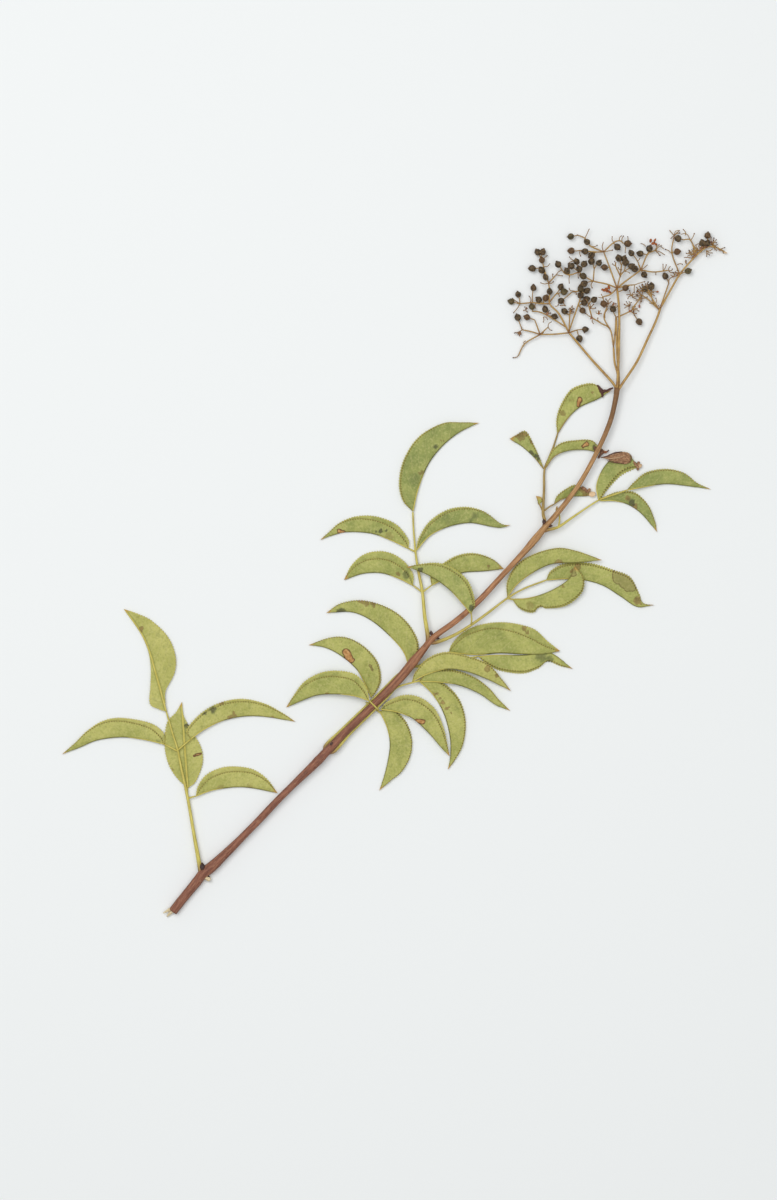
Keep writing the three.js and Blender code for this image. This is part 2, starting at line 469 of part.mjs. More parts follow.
      [119.5, 123.5, 2, 20, 110, 2.8, 0, 2],
    ],
  },
};

// ---- Helpers ----------------------------------------------------------------------
const clamp = THREE.MathUtils.clamp;
const lerp = THREE.MathUtils.lerp;
const degrees = THREE.MathUtils.degToRad;

let state = SEED;
function scatter(span) {
  state = (state * 16807) % 2147483647;
  return ((state / 2147483647) * 2 - 1) * span;
}

// The value of an evenly spaced list of numbers at t, from 0 to 1.
function along(list, t) {
  const place = clamp(t, 0, 1) * (list.length - 1);
  const first = Math.min(Math.floor(place), list.length - 2);
  return lerp(list[first], list[first + 1], place - first);
}

function spline(points) {
  const vectors = points.map(([x, y, z = 0]) => new THREE.Vector3(x, y, z));
  return new THREE.CatmullRomCurve3(vectors, false, 'catmullrom', 0.5);
}

function manifold(geometry) {
  geometry.deleteAttribute('normal');
  geometry.deleteAttribute('uv');
  const merged = mergeVertices(geometry, 1e-4);
  const vertProperties = new Float32Array(merged.attributes.position.array);
  const triVerts = new Uint32Array(merged.index.array);
  return new wasm.Manifold(new wasm.Mesh({ numProp: 3, vertProperties, triVerts }));
}

function fuse(solids) {
  return solids.reduce((whole, next) => whole.add(next));
}

function signedVolume(points, triangles) {
  let six = 0;
  for (const [a, b, c] of triangles) {
    six += points[a].dot(new THREE.Vector3().crossVectors(points[b], points[c]));
  }
  return six / 6;
}

// A closed solid through a row of rings with the same number of points each. Every cell
// is split along its shorter diagonal in plan, so the two faces of a blade are split
// alike; each end is closed by a fan from the ring's first point.
function loft(rings) {
  const count = rings[0].length;
  const points = rings.flat();
  const plan = (a, b) => Math.hypot(points[a].x - points[b].x, points[a].y - points[b].y);
  const triangles = [];
  for (let ring = 0; ring + 1 < rings.length; ring += 1) {
    for (let side = 0; side < count; side += 1) {
      const a = ring * count + side;
      const b = ring * count + ((side + 1) % count);
      const c = a + count;
      const d = b + count;
      if (plan(a, d) <= plan(b, c)) {
        triangles.push([a, b, d], [a, d, c]);
      } else {
        triangles.push([a, b, c], [b, d, c]);
      }
    }
  }
  const last = points.length - count;
  for (let side = 1; side + 1 < count; side += 1) {
    triangles.push([0, side + 1, side], [last, last + side, last + side + 1]);
  }
  if (signedVolume(points, triangles) < 0) triangles.forEach((t) => t.reverse());
  const geometry = new THREE.BufferGeometry().setFromPoints(points);
  geometry.setIndex(triangles.flat());
  return manifold(geometry);
}

// ---- Stalks -----------------------------------------------------------------------
// A ring of points round a stalk: `across` lies level, `up` stands square to the path.
// What would come below z = 0 is pressed flat on it.
function ringRound(centre, tangent, radius, sides) {
  const across = new THREE.Vector3(-tangent.y, tangent.x, 0).normalize();
  const up = new THREE.Vector3().crossVectors(tangent, across).normalize();
  const ring = [];
  for (let side = 0; side < sides; side += 1) {
    const angle = ((side + 0.5) / sides) * 2 * Math.PI;
    const point = centre.clone()
      .addScaledVector(across, Math.cos(angle) * radius)
      .addScaledVector(up, Math.sin(angle) * radius);
    point.z = Math.max(point.z, 0);
    ring.push(point);
  }
  return ring;
}

function stalk(path, [atStart, atEnd], sides = STALK_SIDES) {
  const steps = path.length - 1;
  const curve = spline(path);
  const rings = [];
  for (let step = 0; step <= steps; step += 1) {
    const t = step / steps;
    const radius = lerp(atStart, atEnd, t);
    rings.push(ringRound(curve.getPoint(t), curve.getTangent(t), radius, sides));
  }
  return loft(rings);
}

// ---- Leaflets ---------------------------------------------------------------------
// A leaflet runs between two lines in plan, its midrib and its margin. Most are folded
// along the midrib, so the section is a narrow V lying on its side: the lower half
// reaches the margin, and the upper half stops at the share of the breadth in `fold`.
// One with a `back` margin lies open, as a single layer either side of the midrib.
function foldedRing(rib, out, breadth, z, share) {
  const at = (reach, height) => new THREE.Vector3(
    rib.x + out.x * reach, rib.y + out.y * reach, z + height);
  const upper = breadth * share;
  const turn = Math.min(FOLD_TURN, breadth * 0.4);
  return [
    at(turn, BLADE + 0.05),
    at(upper, BLADE + FOLD_GAP),
    at(upper, 2 * BLADE + FOLD_GAP),
    at(0, 2 * BLADE),
    at(0, 0),
    at(breadth, 0),
    at(breadth, BLADE),
  ];
}

function openRing(rib, out, breadth, z, behind, backBreadth) {
  const at = (side, reach, height) => new THREE.Vector3(
    rib.x + side.x * reach, rib.y + side.y * reach, z + height);
  return [
    at(out, 0, BLADE + 0.2),
    at(behind, backBreadth, BLADE),
    at(behind, backBreadth, 0),
    at(out, 0, 0),
    at(out, breadth, 0),
    at(out, breadth, BLADE),
  ];
}

function leaflet({ rib, edge, back, lift, fold }) {
  const base = rib[0];
  const tip = rib[rib.length - 1];
  const ribCurve = spline(rib);
  const edgeCurve = spline([base, ...edge, tip]);
  const backCurve = back ? spline([base, ...back, tip]) : null;
  const cells = 2 * Math.max(2, Math.round(edgeCurve.getLength() / TOOTH_PITCH));
  const mids = ribCurve.getSpacedPoints(cells);
  const edges = edgeCurve.getSpacedPoints(cells);
  const backs = backCurve ? backCurve.getSpacedPoints(cells) : null;

  // The way out from the midrib to a margin; at the ends, where the two meet, it is
  // taken from the next line in.
  const reachOut = (margin, cell) => {
    const inner = clamp(cell, 1, cells - 1);
    const out = new THREE.Vector3().subVectors(margin[inner], mids[inner]).normalize();
    const breadth = mids[cell].distanceTo(margin[cell]);
    const ends = cell === 0 || cell === cells;
    const tooth = ends ? 0 : (cell % 2 ? TOOTH : -TOOTH);
    return { out, breadth: Math.max(breadth + tooth, ends ? BLADE_END / 2 : BLADE_END) };
  };

  const rings = [];
  for (let cell = 0; cell <= cells; cell += 1) {
    const t = cell / cells;
    const z = along(lift, t);
    const { out, breadth } = reachOut(edges, cell);
    if (backs) {
      const other = reachOut(backs, cell);
      rings.push(openRing(mids[cell], out, breadth, z, other.out, other.breadth));
    } else {
      rings.push(foldedRing(mids[cell], out, breadth, z, along(fold, t)));
    }
  }
  const intoStalk = ribCurve.getTangent(0).multiplyScalar(-ROOT);
  rings.unshift(rings[0].map((point) => point.clone().add(intoStalk)));
  return loft(rings);
}

function leaf({ rachis, radius, stalks, blades }) {
  return fuse([
    stalk(rachis, radius, 5),
    ...stalks.map((path) => stalk(path, [radius[1] * 0.85, radius[1] * 0.85])),
    ...blades.map(leaflet),
  ]);
}

// ---- Stem -------------------------------------------------------------------------
function bud({ at, size, turn }) {
  const geometry = new THREE.SphereGeometry(1, 6, 4);
  geometry.scale(size[0], size[1], size[1]);
  geometry.rotateZ(degrees(turn));
  geometry.translate(...at);
  return manifold(geometry);
}

function stem() {
  const curve = spline(STEM);
  const radii = STEM.map((station) => station[3]);
  const steps = STEM.length - 1;
  const rings = [];
  for (let step = 0; step <= steps; step += 1) {
    const t = step / steps;
    rings.push(ringRound(curve.getPoint(t), curve.getTangent(t), along(radii, t), STEM_SIDES));
  }
  return fuse([
    loft(rings),
    stalk(PETIOLE_STUB.path, PETIOLE_STUB.radius, 7),
    ...SPLINTERS.map(({ path, radius }) => stalk(path, radius, 3)),
    ...BUDS.map(bud),
  ]);
}

// ---- Head of berries --------------------------------------------------------------
// A berry hangs on the end of its stalk, its longer axis along it.
function berry(centre, way) {
  const geometry = new THREE.SphereGeometry(1, BERRY_SIDES, BERRY_ROWS);
  geometry.rotateZ(Math.PI / 2);
  geometry.scale(BERRY[2], BERRY[0], BERRY[1]);
  geometry.rotateZ(way);
  geometry.translate(centre.x, centre.y, centre.z);
  return manifold(geometry);
}

// The stalks that fan out from one point: first those with a berry, shared over the
// spread, then the bare ones left by fallen berries, between them.
function fan([x, y, z, aim, spread, reach, berries, bare]) {
  const start = new THREE.Vector3(x, y, z);
  const solids = [];
  const count = berries + bare;
  for (let index = 0; index < count; index += 1) {
    const place = count === 1 ? 0 : index / (count - 1) - 0.5;
    const angle = degrees(aim + place * spread + scatter(4));
    const length = reach * (1 + scatter(0.08));
    const rise = scatter(0.3);
    const way = new THREE.Vector3(Math.cos(angle), Math.sin(angle), 0);
    const end = start.clone().addScaledVector(way, length);
    const hasBerry = index < berries;
    end.z = Math.max(end.z + rise, hasBerry ? BERRY[1] + 0.05 : PEDICEL + 0.1);
    solids.push(stalk([start.toArray(), end.toArray()], [PEDICEL, PEDICEL], 3));
    if (hasBerry) solids.push(berry(end, angle));
  }
  return solids;
}

function spray({ limbs, fans }) {
  return fuse([
    ...limbs.map(({ r, path }) => stalk(path, r)),
    ...fans.flatMap(fan),
  ]);
}

// ---- Materials --------------------------------------------------------------------
function finish(color, roughness) {
  return new THREE.MeshStandardMaterial({ color, roughness, metalness: 0 });
}

const bark = finish(0x9a7452, 0.75);
const foliage = finish(0x9da056, 0.7);
const fruitingStalks = finish(0x8a6a3a, 0.65);

// ---- Needle triangles -------------------------------------------------------------
// Where two pieces meet at a shallow angle, their join leaves needle triangles. A short
// edge is drawn together to one point, and a long needle hands its long side over to the
// triangle beside it, wherever the surface stays closed by it.
function withoutNeedles(points, triangles) {
  const height = ([a, b, c]) => {
    const sides = [[a, b], [b, c], [c, a]].map(([p, q]) => points[p].distanceTo(points[q]));
    const area = new THREE.Triangle(points[a], points[b], points[c]).getArea();
    return (2 * area) / Math.max(...sides);
  };
  const normal = ([a, b, c]) => (
    new THREE.Triangle(points[a], points[b], points[c]).getNormal(new THREE.Vector3())
  );
  for (let pass = 0; pass < NEEDLE_PASSES; pass += 1) {
    const owner = new Map();
    const beside = points.map(() => new Set());
    triangles.forEach(([a, b, c], index) => {
      for (const [p, q] of [[a, b], [b, c], [c, a]]) {
        owner.set(`${p},${q}`, index);
        beside[p].add(q);
        beside[q].add(p);
      }
    });
    const touched = new Set();
    const gone = new Set();
    const becomes = new Map();
    let changes = 0;
    const corners = [...triangles];
    corners.forEach((triangle, index) => {
      if (triangle.some((corner) => touched.has(corner))) return;
      const sides = [0, 1, 2].map((k) => [triangle[k], triangle[(k + 1) % 3], triangle[(k + 2) % 3]]);
      sides.sort((s, t) => points[s[0]].distanceTo(points[s[1]]) - points[t[0]].distanceTo(points[t[1]]));
      const [keep, drop] = sides[0];
      if (points[keep].distanceTo(points[drop]) < SHORT_EDGE) {
        const shared = [...beside[keep]].filter((corner) => beside[drop].has(corner));
        if (shared.length !== 2) return;
        becomes.set(drop, keep);
        gone.add(index).add(owner.get(`${drop},${keep}`));
        for (const corner of [keep, drop, ...beside[keep], ...beside[drop]]) touched.add(corner);
        changes += 1;
        return;
      }
      if (height(triangle) >= THIN_NEEDLE) return;
      const [from, to, apex] = sides[2];
      const other = owner.get(`${to},${from}`);
      const far = corners[other].find((corner) => corner !== from && corner !== to);
      if (touched.has(far) || beside[far].has(apex)) return;
      const made = [[from, far, apex], [far, to, apex]];
      const facing = normal(corners[other]);
      if (made.some((t) => height(t) <= height(triangle) || normal(t).dot(facing) <= 0)) return;
      [triangles[index], triangles[other]] = made;
      for (const corner of [from, to, apex, far]) touched.add(corner);
      changes += 1;
    });
    triangles = triangles
      .filter((_, index) => !gone.has(index))
      .map((triangle) => triangle.map((corner) => becomes.get(corner) ?? corner));
    if (!changes) break;
  }
  return triangles;
}

// ---- The cutting ------------------------------------------------------------------
function node(name, solid, material) {
  const { vertProperties, triVerts, numVert, numTri } = solid.getMesh();
  const points = Array.from({ length: numVert }, (_, index) => (
    new THREE.Vector3().fromArray(vertProperties, index * 3)
  ));
  const joined = Array.from({ length: numTri }, (_, index) => (
    [...triVerts.subarray(index * 3, index * 3 + 3)]
  ));
  const geometry = new THREE.BufferGeometry().setFromPoints(points);
  geometry.setIndex(withoutNeedles(points, joined).flat());
  geometry.computeVertexNormals();
  const mesh = new THREE.Mesh(geometry, material);
  mesh.name = name;
  return mesh;
}

const cutting = new THREE.Group();
cutting.name = 'elderberry_cutting';
cutting.position.set(-CENTRE[0], -CENTRE[1], 0);
cutting.add(node('stem', stem(), bark));
for (const [name, data] of Object.entries(LEAVES)) {
  cutting.add(node(name, leaf(data), foliage));
}
for (const [name, data] of Object.entries(SPRAYS)) {
  cutting.add(node(name, spray(data), fruitingStalks));
}

export default cutting;
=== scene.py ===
# %% [markdown]
# # A dried elderberry cutting
# The object is one shoot of an elder bush, pressed and laid flat: a woody stem, seven
# compound leaves whose leaflets have folded along their midribs, and a head of small
# shrivelled berries. Everything is thin and lies within a few millimetres of the
# surface, so the outline, the veins and the mottled colours carry the likeness. The
# pieces are grown in code from short tables of where each part runs, because that is how
# a plant is built: the same leaflet and the same berry, repeated by a rule, never twice alike.

# %% The frame and the units
import math
import random

import bmesh
import bpy
import numpy as np
from mathutils import Matrix, Vector, noise


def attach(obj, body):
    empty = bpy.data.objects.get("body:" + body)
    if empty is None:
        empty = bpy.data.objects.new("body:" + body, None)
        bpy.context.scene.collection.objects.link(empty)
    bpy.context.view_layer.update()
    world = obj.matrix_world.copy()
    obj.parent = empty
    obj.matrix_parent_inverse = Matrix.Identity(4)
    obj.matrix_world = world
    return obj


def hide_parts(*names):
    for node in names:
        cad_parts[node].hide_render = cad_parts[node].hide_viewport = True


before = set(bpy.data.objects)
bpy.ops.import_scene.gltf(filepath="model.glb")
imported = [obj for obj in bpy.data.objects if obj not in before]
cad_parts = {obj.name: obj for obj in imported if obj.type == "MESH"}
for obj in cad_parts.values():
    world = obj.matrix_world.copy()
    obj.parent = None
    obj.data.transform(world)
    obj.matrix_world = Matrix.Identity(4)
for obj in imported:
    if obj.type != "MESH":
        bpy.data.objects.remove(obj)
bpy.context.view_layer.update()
MM = 0.001
CENTRE = Vector((-0.22, 0.66, 0.0))  # the tables' own numbers for the middle of the cutting
TABLE_TO_FRAME = Matrix.Scale(MM, 4) @ Matrix.Translation(-CENTRE)
noise.seed_set(1)  # noise_vector shifts its noise by this seed, and by the clock without one
print("solids in the frame:", sorted(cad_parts))

# %% [markdown]
# ## Smooth lines
# Every stalk, midrib and margin is a smooth curve through a few points. Blender's curve
# objects could carry them, but their points crowd where the entered ones do. Here one
# function spreads points evenly along such a curve, so that teeth and veins keep their
# spacing however the curve was entered.


# %% Smooth lines
STEPS = 24  # points worked out between two entered ones


def smooth_line(points, count):
    """`count` even points on a Catmull-Rom curve; a fourth number, as a radius, goes along."""
    ends = np.array(points, float)
    held = np.vstack([2 * ends[0] - ends[1], ends, 2 * ends[-1] - ends[-2]])
    t = np.linspace(0, 1, STEPS, endpoint=False)[:, None]
    dense = []
    for a, b, c, d in zip(held, held[1:], held[2:], held[3:]):
        bend = (2 * a - 5 * b + 4 * c - d) * t**2 + (3 * b - a - 3 * c + d) * t**3
        dense.append(0.5 * (2 * b + (c - a) * t + bend))
    dense = np.vstack([*dense, ends[-1:]])
    steps = np.linalg.norm(np.diff(dense[:, :3], axis=0), axis=1)
    run = np.concatenate([[0], np.cumsum(steps)])
    even = np.linspace(0, run[-1], count)
    return np.column_stack([np.interp(even, run, column) for column in dense.T])


def line_length(points):
    return float(np.linalg.norm(np.diff(smooth_line(points, 60)[:, :3], axis=0), axis=1).sum())


def smooth_step(value, low, high):
    t = min(max((value - low) / (high - low), 0.0), 1.0)
    return t * t * (3 - 2 * t)


def along_list(values, t):
    """The value at `t`, 0 to 1, of a few that are spread evenly."""
    return float(np.interp(t * (len(values) - 1), range(len(values)), values))


# %% [markdown]
# ## Writing materials as sums
# Blender's shader nodes are easiest to read as arithmetic. `Socket` wraps one output of a
# node, and adding or multiplying it adds the Math node that does so. `Paint` holds one
# material and makes every other node through a single method. Colours are mixed with Mix
# nodes, because a Math node would turn them grey, and are laid over each other in coats,
# the way a model painter works: a base, then each coat with the share of it that shows.


# %% Sockets
class Socket:
    def __init__(self, paint, out):
        self.paint, self.out = paint, out

    def math(self, operation, *others, swapped=False):
        values = [*others, self] if swapped else [self, *others]
        return self.paint.node("ShaderNodeMath", {"operation": operation}, values)

    def __add__(self, other):
        return self.math("ADD", other)

    def __sub__(self, other):
        return self.math("SUBTRACT", other)

    def __rsub__(self, other):
        return self.math("SUBTRACT", other, swapped=True)

    def __mul__(self, other):
        return self.math("MULTIPLY", other)

    def __truediv__(self, other):
        return self.math("DIVIDE", other)

    __radd__, __rmul__ = __add__, __mul__

    def ramp(self, low, high):
        """0 at `low` and 1 at `high`, eased at both ends; `low` may be the larger."""
        settings = {"interpolation_type": "SMOOTHSTEP"}
        return self.paint.node("ShaderNodeMapRange", settings, [self, low, high, 0.0, 1.0])


# %% Paints
def linear(red, green, blue):
    """A screen colour, 0 to 255, as the light values that a shader works in."""
    parts = [part / 255 for part in (red, green, blue)]
    return (*[p / 12.92 if p <= 0.04045 else ((p + 0.055) / 1.055) ** 2.4 for p in parts], 1.0)


class Paint:
    def __init__(self, name):
        self.material = bpy.data.materials.new(name)
        self.material.use_nodes = True
        self.tree = self.material.node_tree
        self.shader = self.tree.nodes["Principled BSDF"]
        self.place = self.node("ShaderNodeTexCoord", out="Object")

    def node(self, kind, settings=None, values=None, out=0):
        made = self.tree.nodes.new(kind)
        for key, value in (settings or {}).items():
            setattr(made, key, value)
        pairs = values.items() if isinstance(values, dict) else enumerate(values or [])
        for key, value in pairs:
            self.plug(made.inputs[key], value)
        return Socket(self, made.outputs[out])

    def plug(self, socket, value):
        if isinstance(value, Socket):
            self.tree.links.new(value.out, socket)
        else:
            socket.default_value = value

    def read(self, *names):
        """The values stored on the mesh's points: a socket for each name."""
        kind = "ShaderNodeAttribute"
        made = [self.node(kind, {"attribute_name": name}, out="Fac") for name in names]
        return made if len(made) > 1 else made[0]

    def noise(self, size, detail=3.0, roughness=0.55):
        """Clouds about `size` millimetres across."""
        values = {"Vector": self.place, "Scale": 1 / (size * MM), "Detail": detail,
                  "Roughness": roughness}
        return self.node("ShaderNodeTexNoise", None, values)

    def cells(self, size, feature="F1"):
        values = {"Vector": self.place, "Scale": 1 / (size * MM)}
        return self.node("ShaderNodeTexVoronoi", {"feature": feature}, values, out="Distance")

    def mix(self, share, *colours):
        """From the first colour at a share of 0 to the second at 1."""
        first, second = [c if isinstance(c, Socket) else linear(*c) for c in colours]
        values = {0: share, 6: first, 7: second}
        return self.node("ShaderNodeMix", {"data_type": "RGBA"}, values, out=2)

    def over(self, colour, *coats):
        """Coats over a base colour, each a share and a colour, in the order given."""
        for share, coat in coats:
            colour = self.mix(share, colour, coat)
        return colour

    def bump(self, height, depth):
        """`height`, 0 to 1, stands for `depth` millimetres."""
        return self.node("ShaderNodeBump", None, {"Height": height, "Distance": depth * MM})

    def finish(self, colour, roughness, normal=None, ior=None):
        self.plug(self.shader.inputs["Base Color"], colour)
        self.plug(self.shader.inputs["Roughness"], roughness)
        if normal:
            self.plug(self.shader.inputs["Normal"], normal)
        if ior:
            self.plug(self.shader.inputs["IOR"], ior)
        return self.material


# %% [markdown]
# ## The dried leaf
# A dried elder leaf is olive green, cloudy with yellower and darker patches. Its midrib
# and side veins stay a little paler, a fine net of veins fills the fields between them,
# and the toothed margin turns yellow. Painted shadow darkens the notches between its
# teeth, most along the margin of a folded leaflet's upper half, which lies over the lower
# one, and painted shade runs beside the raised midrib of an open leaflet. All this could
# be painted on an image, but an image blurs close by and can't follow a change of outline.
# So the veins are drawn from values stored on a leaflet's points: how far along the midrib
# a point is, how far out from it, and how far in from the margin, all in millimetres.
# Bruises, dark stains and the holes that are dried right through are stored the same way.

# %% The leaf's veins and greens
VEIN_PITCH = 4.2  # from one side vein to the next, mm
VEIN_LEAN, VEIN_BEND = 0.8, 0.05  # how far a side vein runs on as it goes out, mm per mm
VEIN_STAGGER = 0.22  # of a pitch, from the veins of one side to those of the other


def side_veins(paint, out, rim):
    """1 along the side veins, fading before they reach the margin."""
    far = out.math("ABSOLUTE")
    drift = paint.noise(9.0, 2.0) * 2.4
    phase = (paint.read("along") - far * VEIN_LEAN - far * far * VEIN_BEND + drift) / VEIN_PITCH
    phase = phase + out.math("SIGN") * VEIN_STAGGER
    return phase.math("PINGPONG", 0.5).ramp(0.075, 0.01) * rim.ramp(0.3, 2.0)


def leaf_green(paint, mottle, grain):
    tone, cloud = paint.read("tone"), paint.noise(9.0, 3.0, 0.6).ramp(0.36, 0.64)
    return paint.over(
        paint.mix(cloud, (157, 162, 85), (178, 180, 99)),
        (tone.ramp(0.0, 1.0), paint.mix(cloud, (182, 180, 97), (199, 194, 113))),  # yellower
        (tone.ramp(0.0, -1.0), paint.mix(cloud, (128, 142, 78), (152, 160, 90))),  # bluer
        (mottle.ramp(0.5, 0.72) * 0.3, (196, 192, 120)),
        (mottle.ramp(0.48, 0.3) * 0.3, (114, 124, 64)),
        (grain.ramp(0.5, 0.3) * 0.35, (116, 122, 60)),
        (grain.ramp(0.52, 0.7) * 0.4, (206, 200, 134)))


# %% The leaf's marks
def leaf_marks(paint, colour):
    """Where a leaf was hurt: `window` and `patch` are distances, in mm, below 0 inside."""
    bruise, stain, window, patch = paint.read("bruise", "stain", "window", "patch")
    rust, fleck = paint.noise(1.4, 4.0, 0.7), paint.noise(1.7, 2.0, 0.5)
    brown = paint.mix(rust.ramp(0.35, 0.68), (98, 66, 38), (164, 128, 78))
    black = paint.mix(stain.ramp(0.4, 0.8), (88, 100, 56), (58, 56, 44))
    dry = paint.mix(rust.ramp(0.35, 0.7), (170, 118, 66), (212, 168, 108))
    bruised = (bruise * 1.2 + rust * 0.7 - 0.6).ramp(0.0, 0.7) * bruise.ramp(0.02, 0.25)
    ring = (bruise - 0.45).math("ABSOLUTE").ramp(0.16, 0.04)
    stained = (stain * 1.2 + rust * 0.6 - 0.45).ramp(0.0, 0.75) * stain.ramp(0.02, 0.25)
    rust_line = patch.math("ABSOLUTE").ramp(0.34, 0.06) * (0.35 + 0.9 * rust)
    return paint.over(
        colour,
        (bruised * 0.7, brown),
        (ring * 0.45, (108, 74, 40)),
        (stained * 0.75, black),
        (window.ramp(0.1, -0.12), dry),
        (window.math("ABSOLUTE").ramp(0.3, 0.08) * 0.85, (88, 52, 30)),
        (patch.ramp(0.2, -0.3) * 0.4, (138, 118, 78)),
        (rust_line * 0.8, (92, 66, 36)),
        (fleck.ramp(0.7, 0.76) * 0.35, (124, 98, 52)))


# %% The leaf's finish
def leaf_paint():
    paint = Paint("leaf")
    out, rim, folded = paint.read("out", "rim", "fold")
    notch, tip = paint.read("notch", "tip")
    far, upper = out.math("ABSOLUTE"), out.ramp(-0.2, 0.2) * folded
    mottle, grain = paint.noise(2.2, 4.0, 0.65), paint.noise(0.8, 3.0, 0.6)
    vein = side_veins(paint, out, rim)
    net = paint.cells(0.9, "DISTANCE_TO_EDGE").ramp(0.1, 0.01) * grain.ramp(0.35, 0.6)
    # a band beside an open leaflet's midrib, which carries painted shade, and the midrib itself
    rib_shade, midrib = far.ramp(0.95, 0.5) * (1.0 - folded), far.ramp(0.45, 0.25)
    # painted shadow in the notches between the teeth, stronger on a folded leaflet's upper half
    notch_shadow = (notch + 0.3 * upper).ramp(0.4, 0.95) * rim.ramp(0.5, 0.1)
    colour = paint.over(
        leaf_green(paint, mottle, grain),
        (net * 0.2, (198, 194, 130)),
        (vein * 0.28, (204, 198, 130)),
        # painted shade beside the raised midrib of an open leaflet
        (rib_shade * 0.45, (112, 112, 52)),
        # on a folded leaflet the midrib, at the fold, is darker; an open leaflet's stays pale
        (midrib * (0.8 - 0.35 * folded), paint.mix(folded, (210, 198, 96), (116, 106, 48))),
        (rim.ramp(0.6, 0.1) * (0.25 + 0.7 * mottle), (206, 192, 96)),
        # painted shadow in the tooth notches, darkest along the upper half's margin, which lies
        # over the lower half
        (notch_shadow * (0.16 + 0.8 * upper), (88, 70, 32)),
        (tip.ramp(0.1, 0.9) * 0.8, (190, 146, 76)))
    height = vein * 0.45 + net * 0.2 + mottle * 0.6 + grain * 0.4
    return paint.finish(
        leaf_marks(paint, colour), 0.6 + 0.25 * mottle, paint.bump(height, 0.16), ior=1.4)


LEAF = leaf_paint()
print("leaf finish:", len(LEAF.node_tree.nodes), "nodes")

# %% [markdown]
# ## Stalks, bark and cut wood
# The leaf stalks stay yellow-green and are finely ribbed along their length, and turn brown
# where they join the stem. The bark is thin: reddish brown at the cut end, tan in the
# middle and ochre towards the head, with fine streaks along it and small raised pores.
# Clouds of plain noise have no direction, so the streaks are a noise that reads two values
# stored on a tube, the way round it and the way along it, and is drawn out lengthwise. The
# way along also moves the bark from one colour to the next, and the way round darkens a
# tube's two sides with painted shade.


# %% Streaks, and painted shade on the sides
def ribbed(paint, ribs, stretch=0.25):
    """Fine streaks that follow a tube: `around` goes once round, `along` is in mm."""
    along, around = paint.read("along", "around")
    spot = paint.node("ShaderNodeCombineXYZ", None, [around * ribs, along * stretch, 0.0])
    return paint.node("ShaderNodeTexNoise", None, {"Vector": spot, "Scale": 1.0, "Detail": 3.0})


def shaded_flanks(paint):
    """1 along the two sides of a tube that lies flat, 0 on its top: where painted shade darkens it,
    as light from above would.
    """
    turn = paint.read("around").math("ABSOLUTE")
    return turn.math("PINGPONG", 0.5).ramp(0.24, 0.06)


# %% The stalks' finishes
def leaf_stalk_paint():
    paint = Paint("leaf_stalk")
    streak = ribbed(paint, 8.0)
    ribs = streak.ramp(0.32, 0.68)
    colour = paint.over(
        paint.mix(ribs, (178, 164, 64), (226, 214, 118)),
        (paint.noise(6.0, 3.0).ramp(0.52, 0.75) * 0.35, (170, 140, 74)),
        (paint.read("tone"), paint.mix(ribs, (116, 84, 50), (168, 130, 80))),
        # painted shade along the stalk's two sides, where its rounding turns from the light
        (shaded_flanks(paint) * 0.5, (136, 116, 42)))
    return paint.finish(colour, 0.5, paint.bump(streak, 0.1), ior=1.45)


def bark_paint():
    paint = Paint("bark")
    along = paint.read("along")
    streak, fine = ribbed(paint, 7.0, 0.12), ribbed(paint, 30.0, 0.5)
    patch, pores = paint.noise(3.2, 4.0, 0.65), paint.cells(2.9).ramp(0.16, 0.07)
    ribs = streak.ramp(0.3, 0.7)
    colour = paint.over(
        paint.mix(ribs, (112, 66, 50), (156, 102, 78)),
        (along.ramp(95.0, 165.0), paint.mix(ribs, (140, 90, 58), (196, 142, 100))),
        (along.ramp(165.0, 205.0), paint.mix(ribs, (146, 104, 62), (202, 158, 104))),
        (along.ramp(232.0, 254.0) * 0.85, (112, 78, 44)),
        (patch.ramp(0.56, 0.72) * 0.3, (186, 142, 108)),
        (patch.ramp(0.44, 0.3) * 0.4, (92, 56, 42)),
        (fine.ramp(0.54, 0.72) * 0.5, (88, 52, 38)),
        (fine.ramp(0.46, 0.3) * 0.4, (198, 152, 116)),
        (pores * 0.35, (186, 150, 116)),
        # painted shade along the stem's two sides, where its rounding turns from the light
        (shaded_flanks(paint) * 0.4, (90, 54, 36)))
    height = streak * 0.5 + fine * 0.5 + pores * 0.5 + patch * 0.4
    return paint.finish(colour, 0.5 + 0.25 * patch, paint.bump(height, 0.2), ior=1.45)


def two_tone_paint(name, grain, dark, pale, roughness, depth):
    """`grain` is a noise's size, detail and roughness; it carries colour and relief."""
    paint = Paint(name)
    grain = paint.noise(*grain)
    colour = paint.mix(grain.ramp(0.35, 0.7), dark, pale)
    return paint.finish(colour, roughness, paint.bump(grain, depth))


LEAF_STALK, BARK = leaf_stalk_paint(), bark_paint()
CUT_WOOD = two_tone_paint("cut_wood", (0.5, 4.0, 0.7), (206, 182, 134), (246, 236, 206), 0.85, 0.2)
BUD = two_tone_paint("bud", (0.7, 3.0, 0.55), (46, 28, 26), (96, 60, 48), 0.55, 0.15)
print("bark finish:", len(BARK.node_tree.nodes), "nodes")

# %% [markdown]
# ## Fruit stalks, berries and withered bits
# The branches of the head are golden ochre, and redder at their forks. A dried berry is a
# shrivelled bag of skin over its seeds: dark brown in the hollows and tan on the wrinkles,
# pointed where the flower was. What has withered runs from almost black through rust to
# the cream of dead tissue. A material for each shade would be much the same work many
# times over, so one serves them all, by two values stored on the points: `tone` and `rust`.


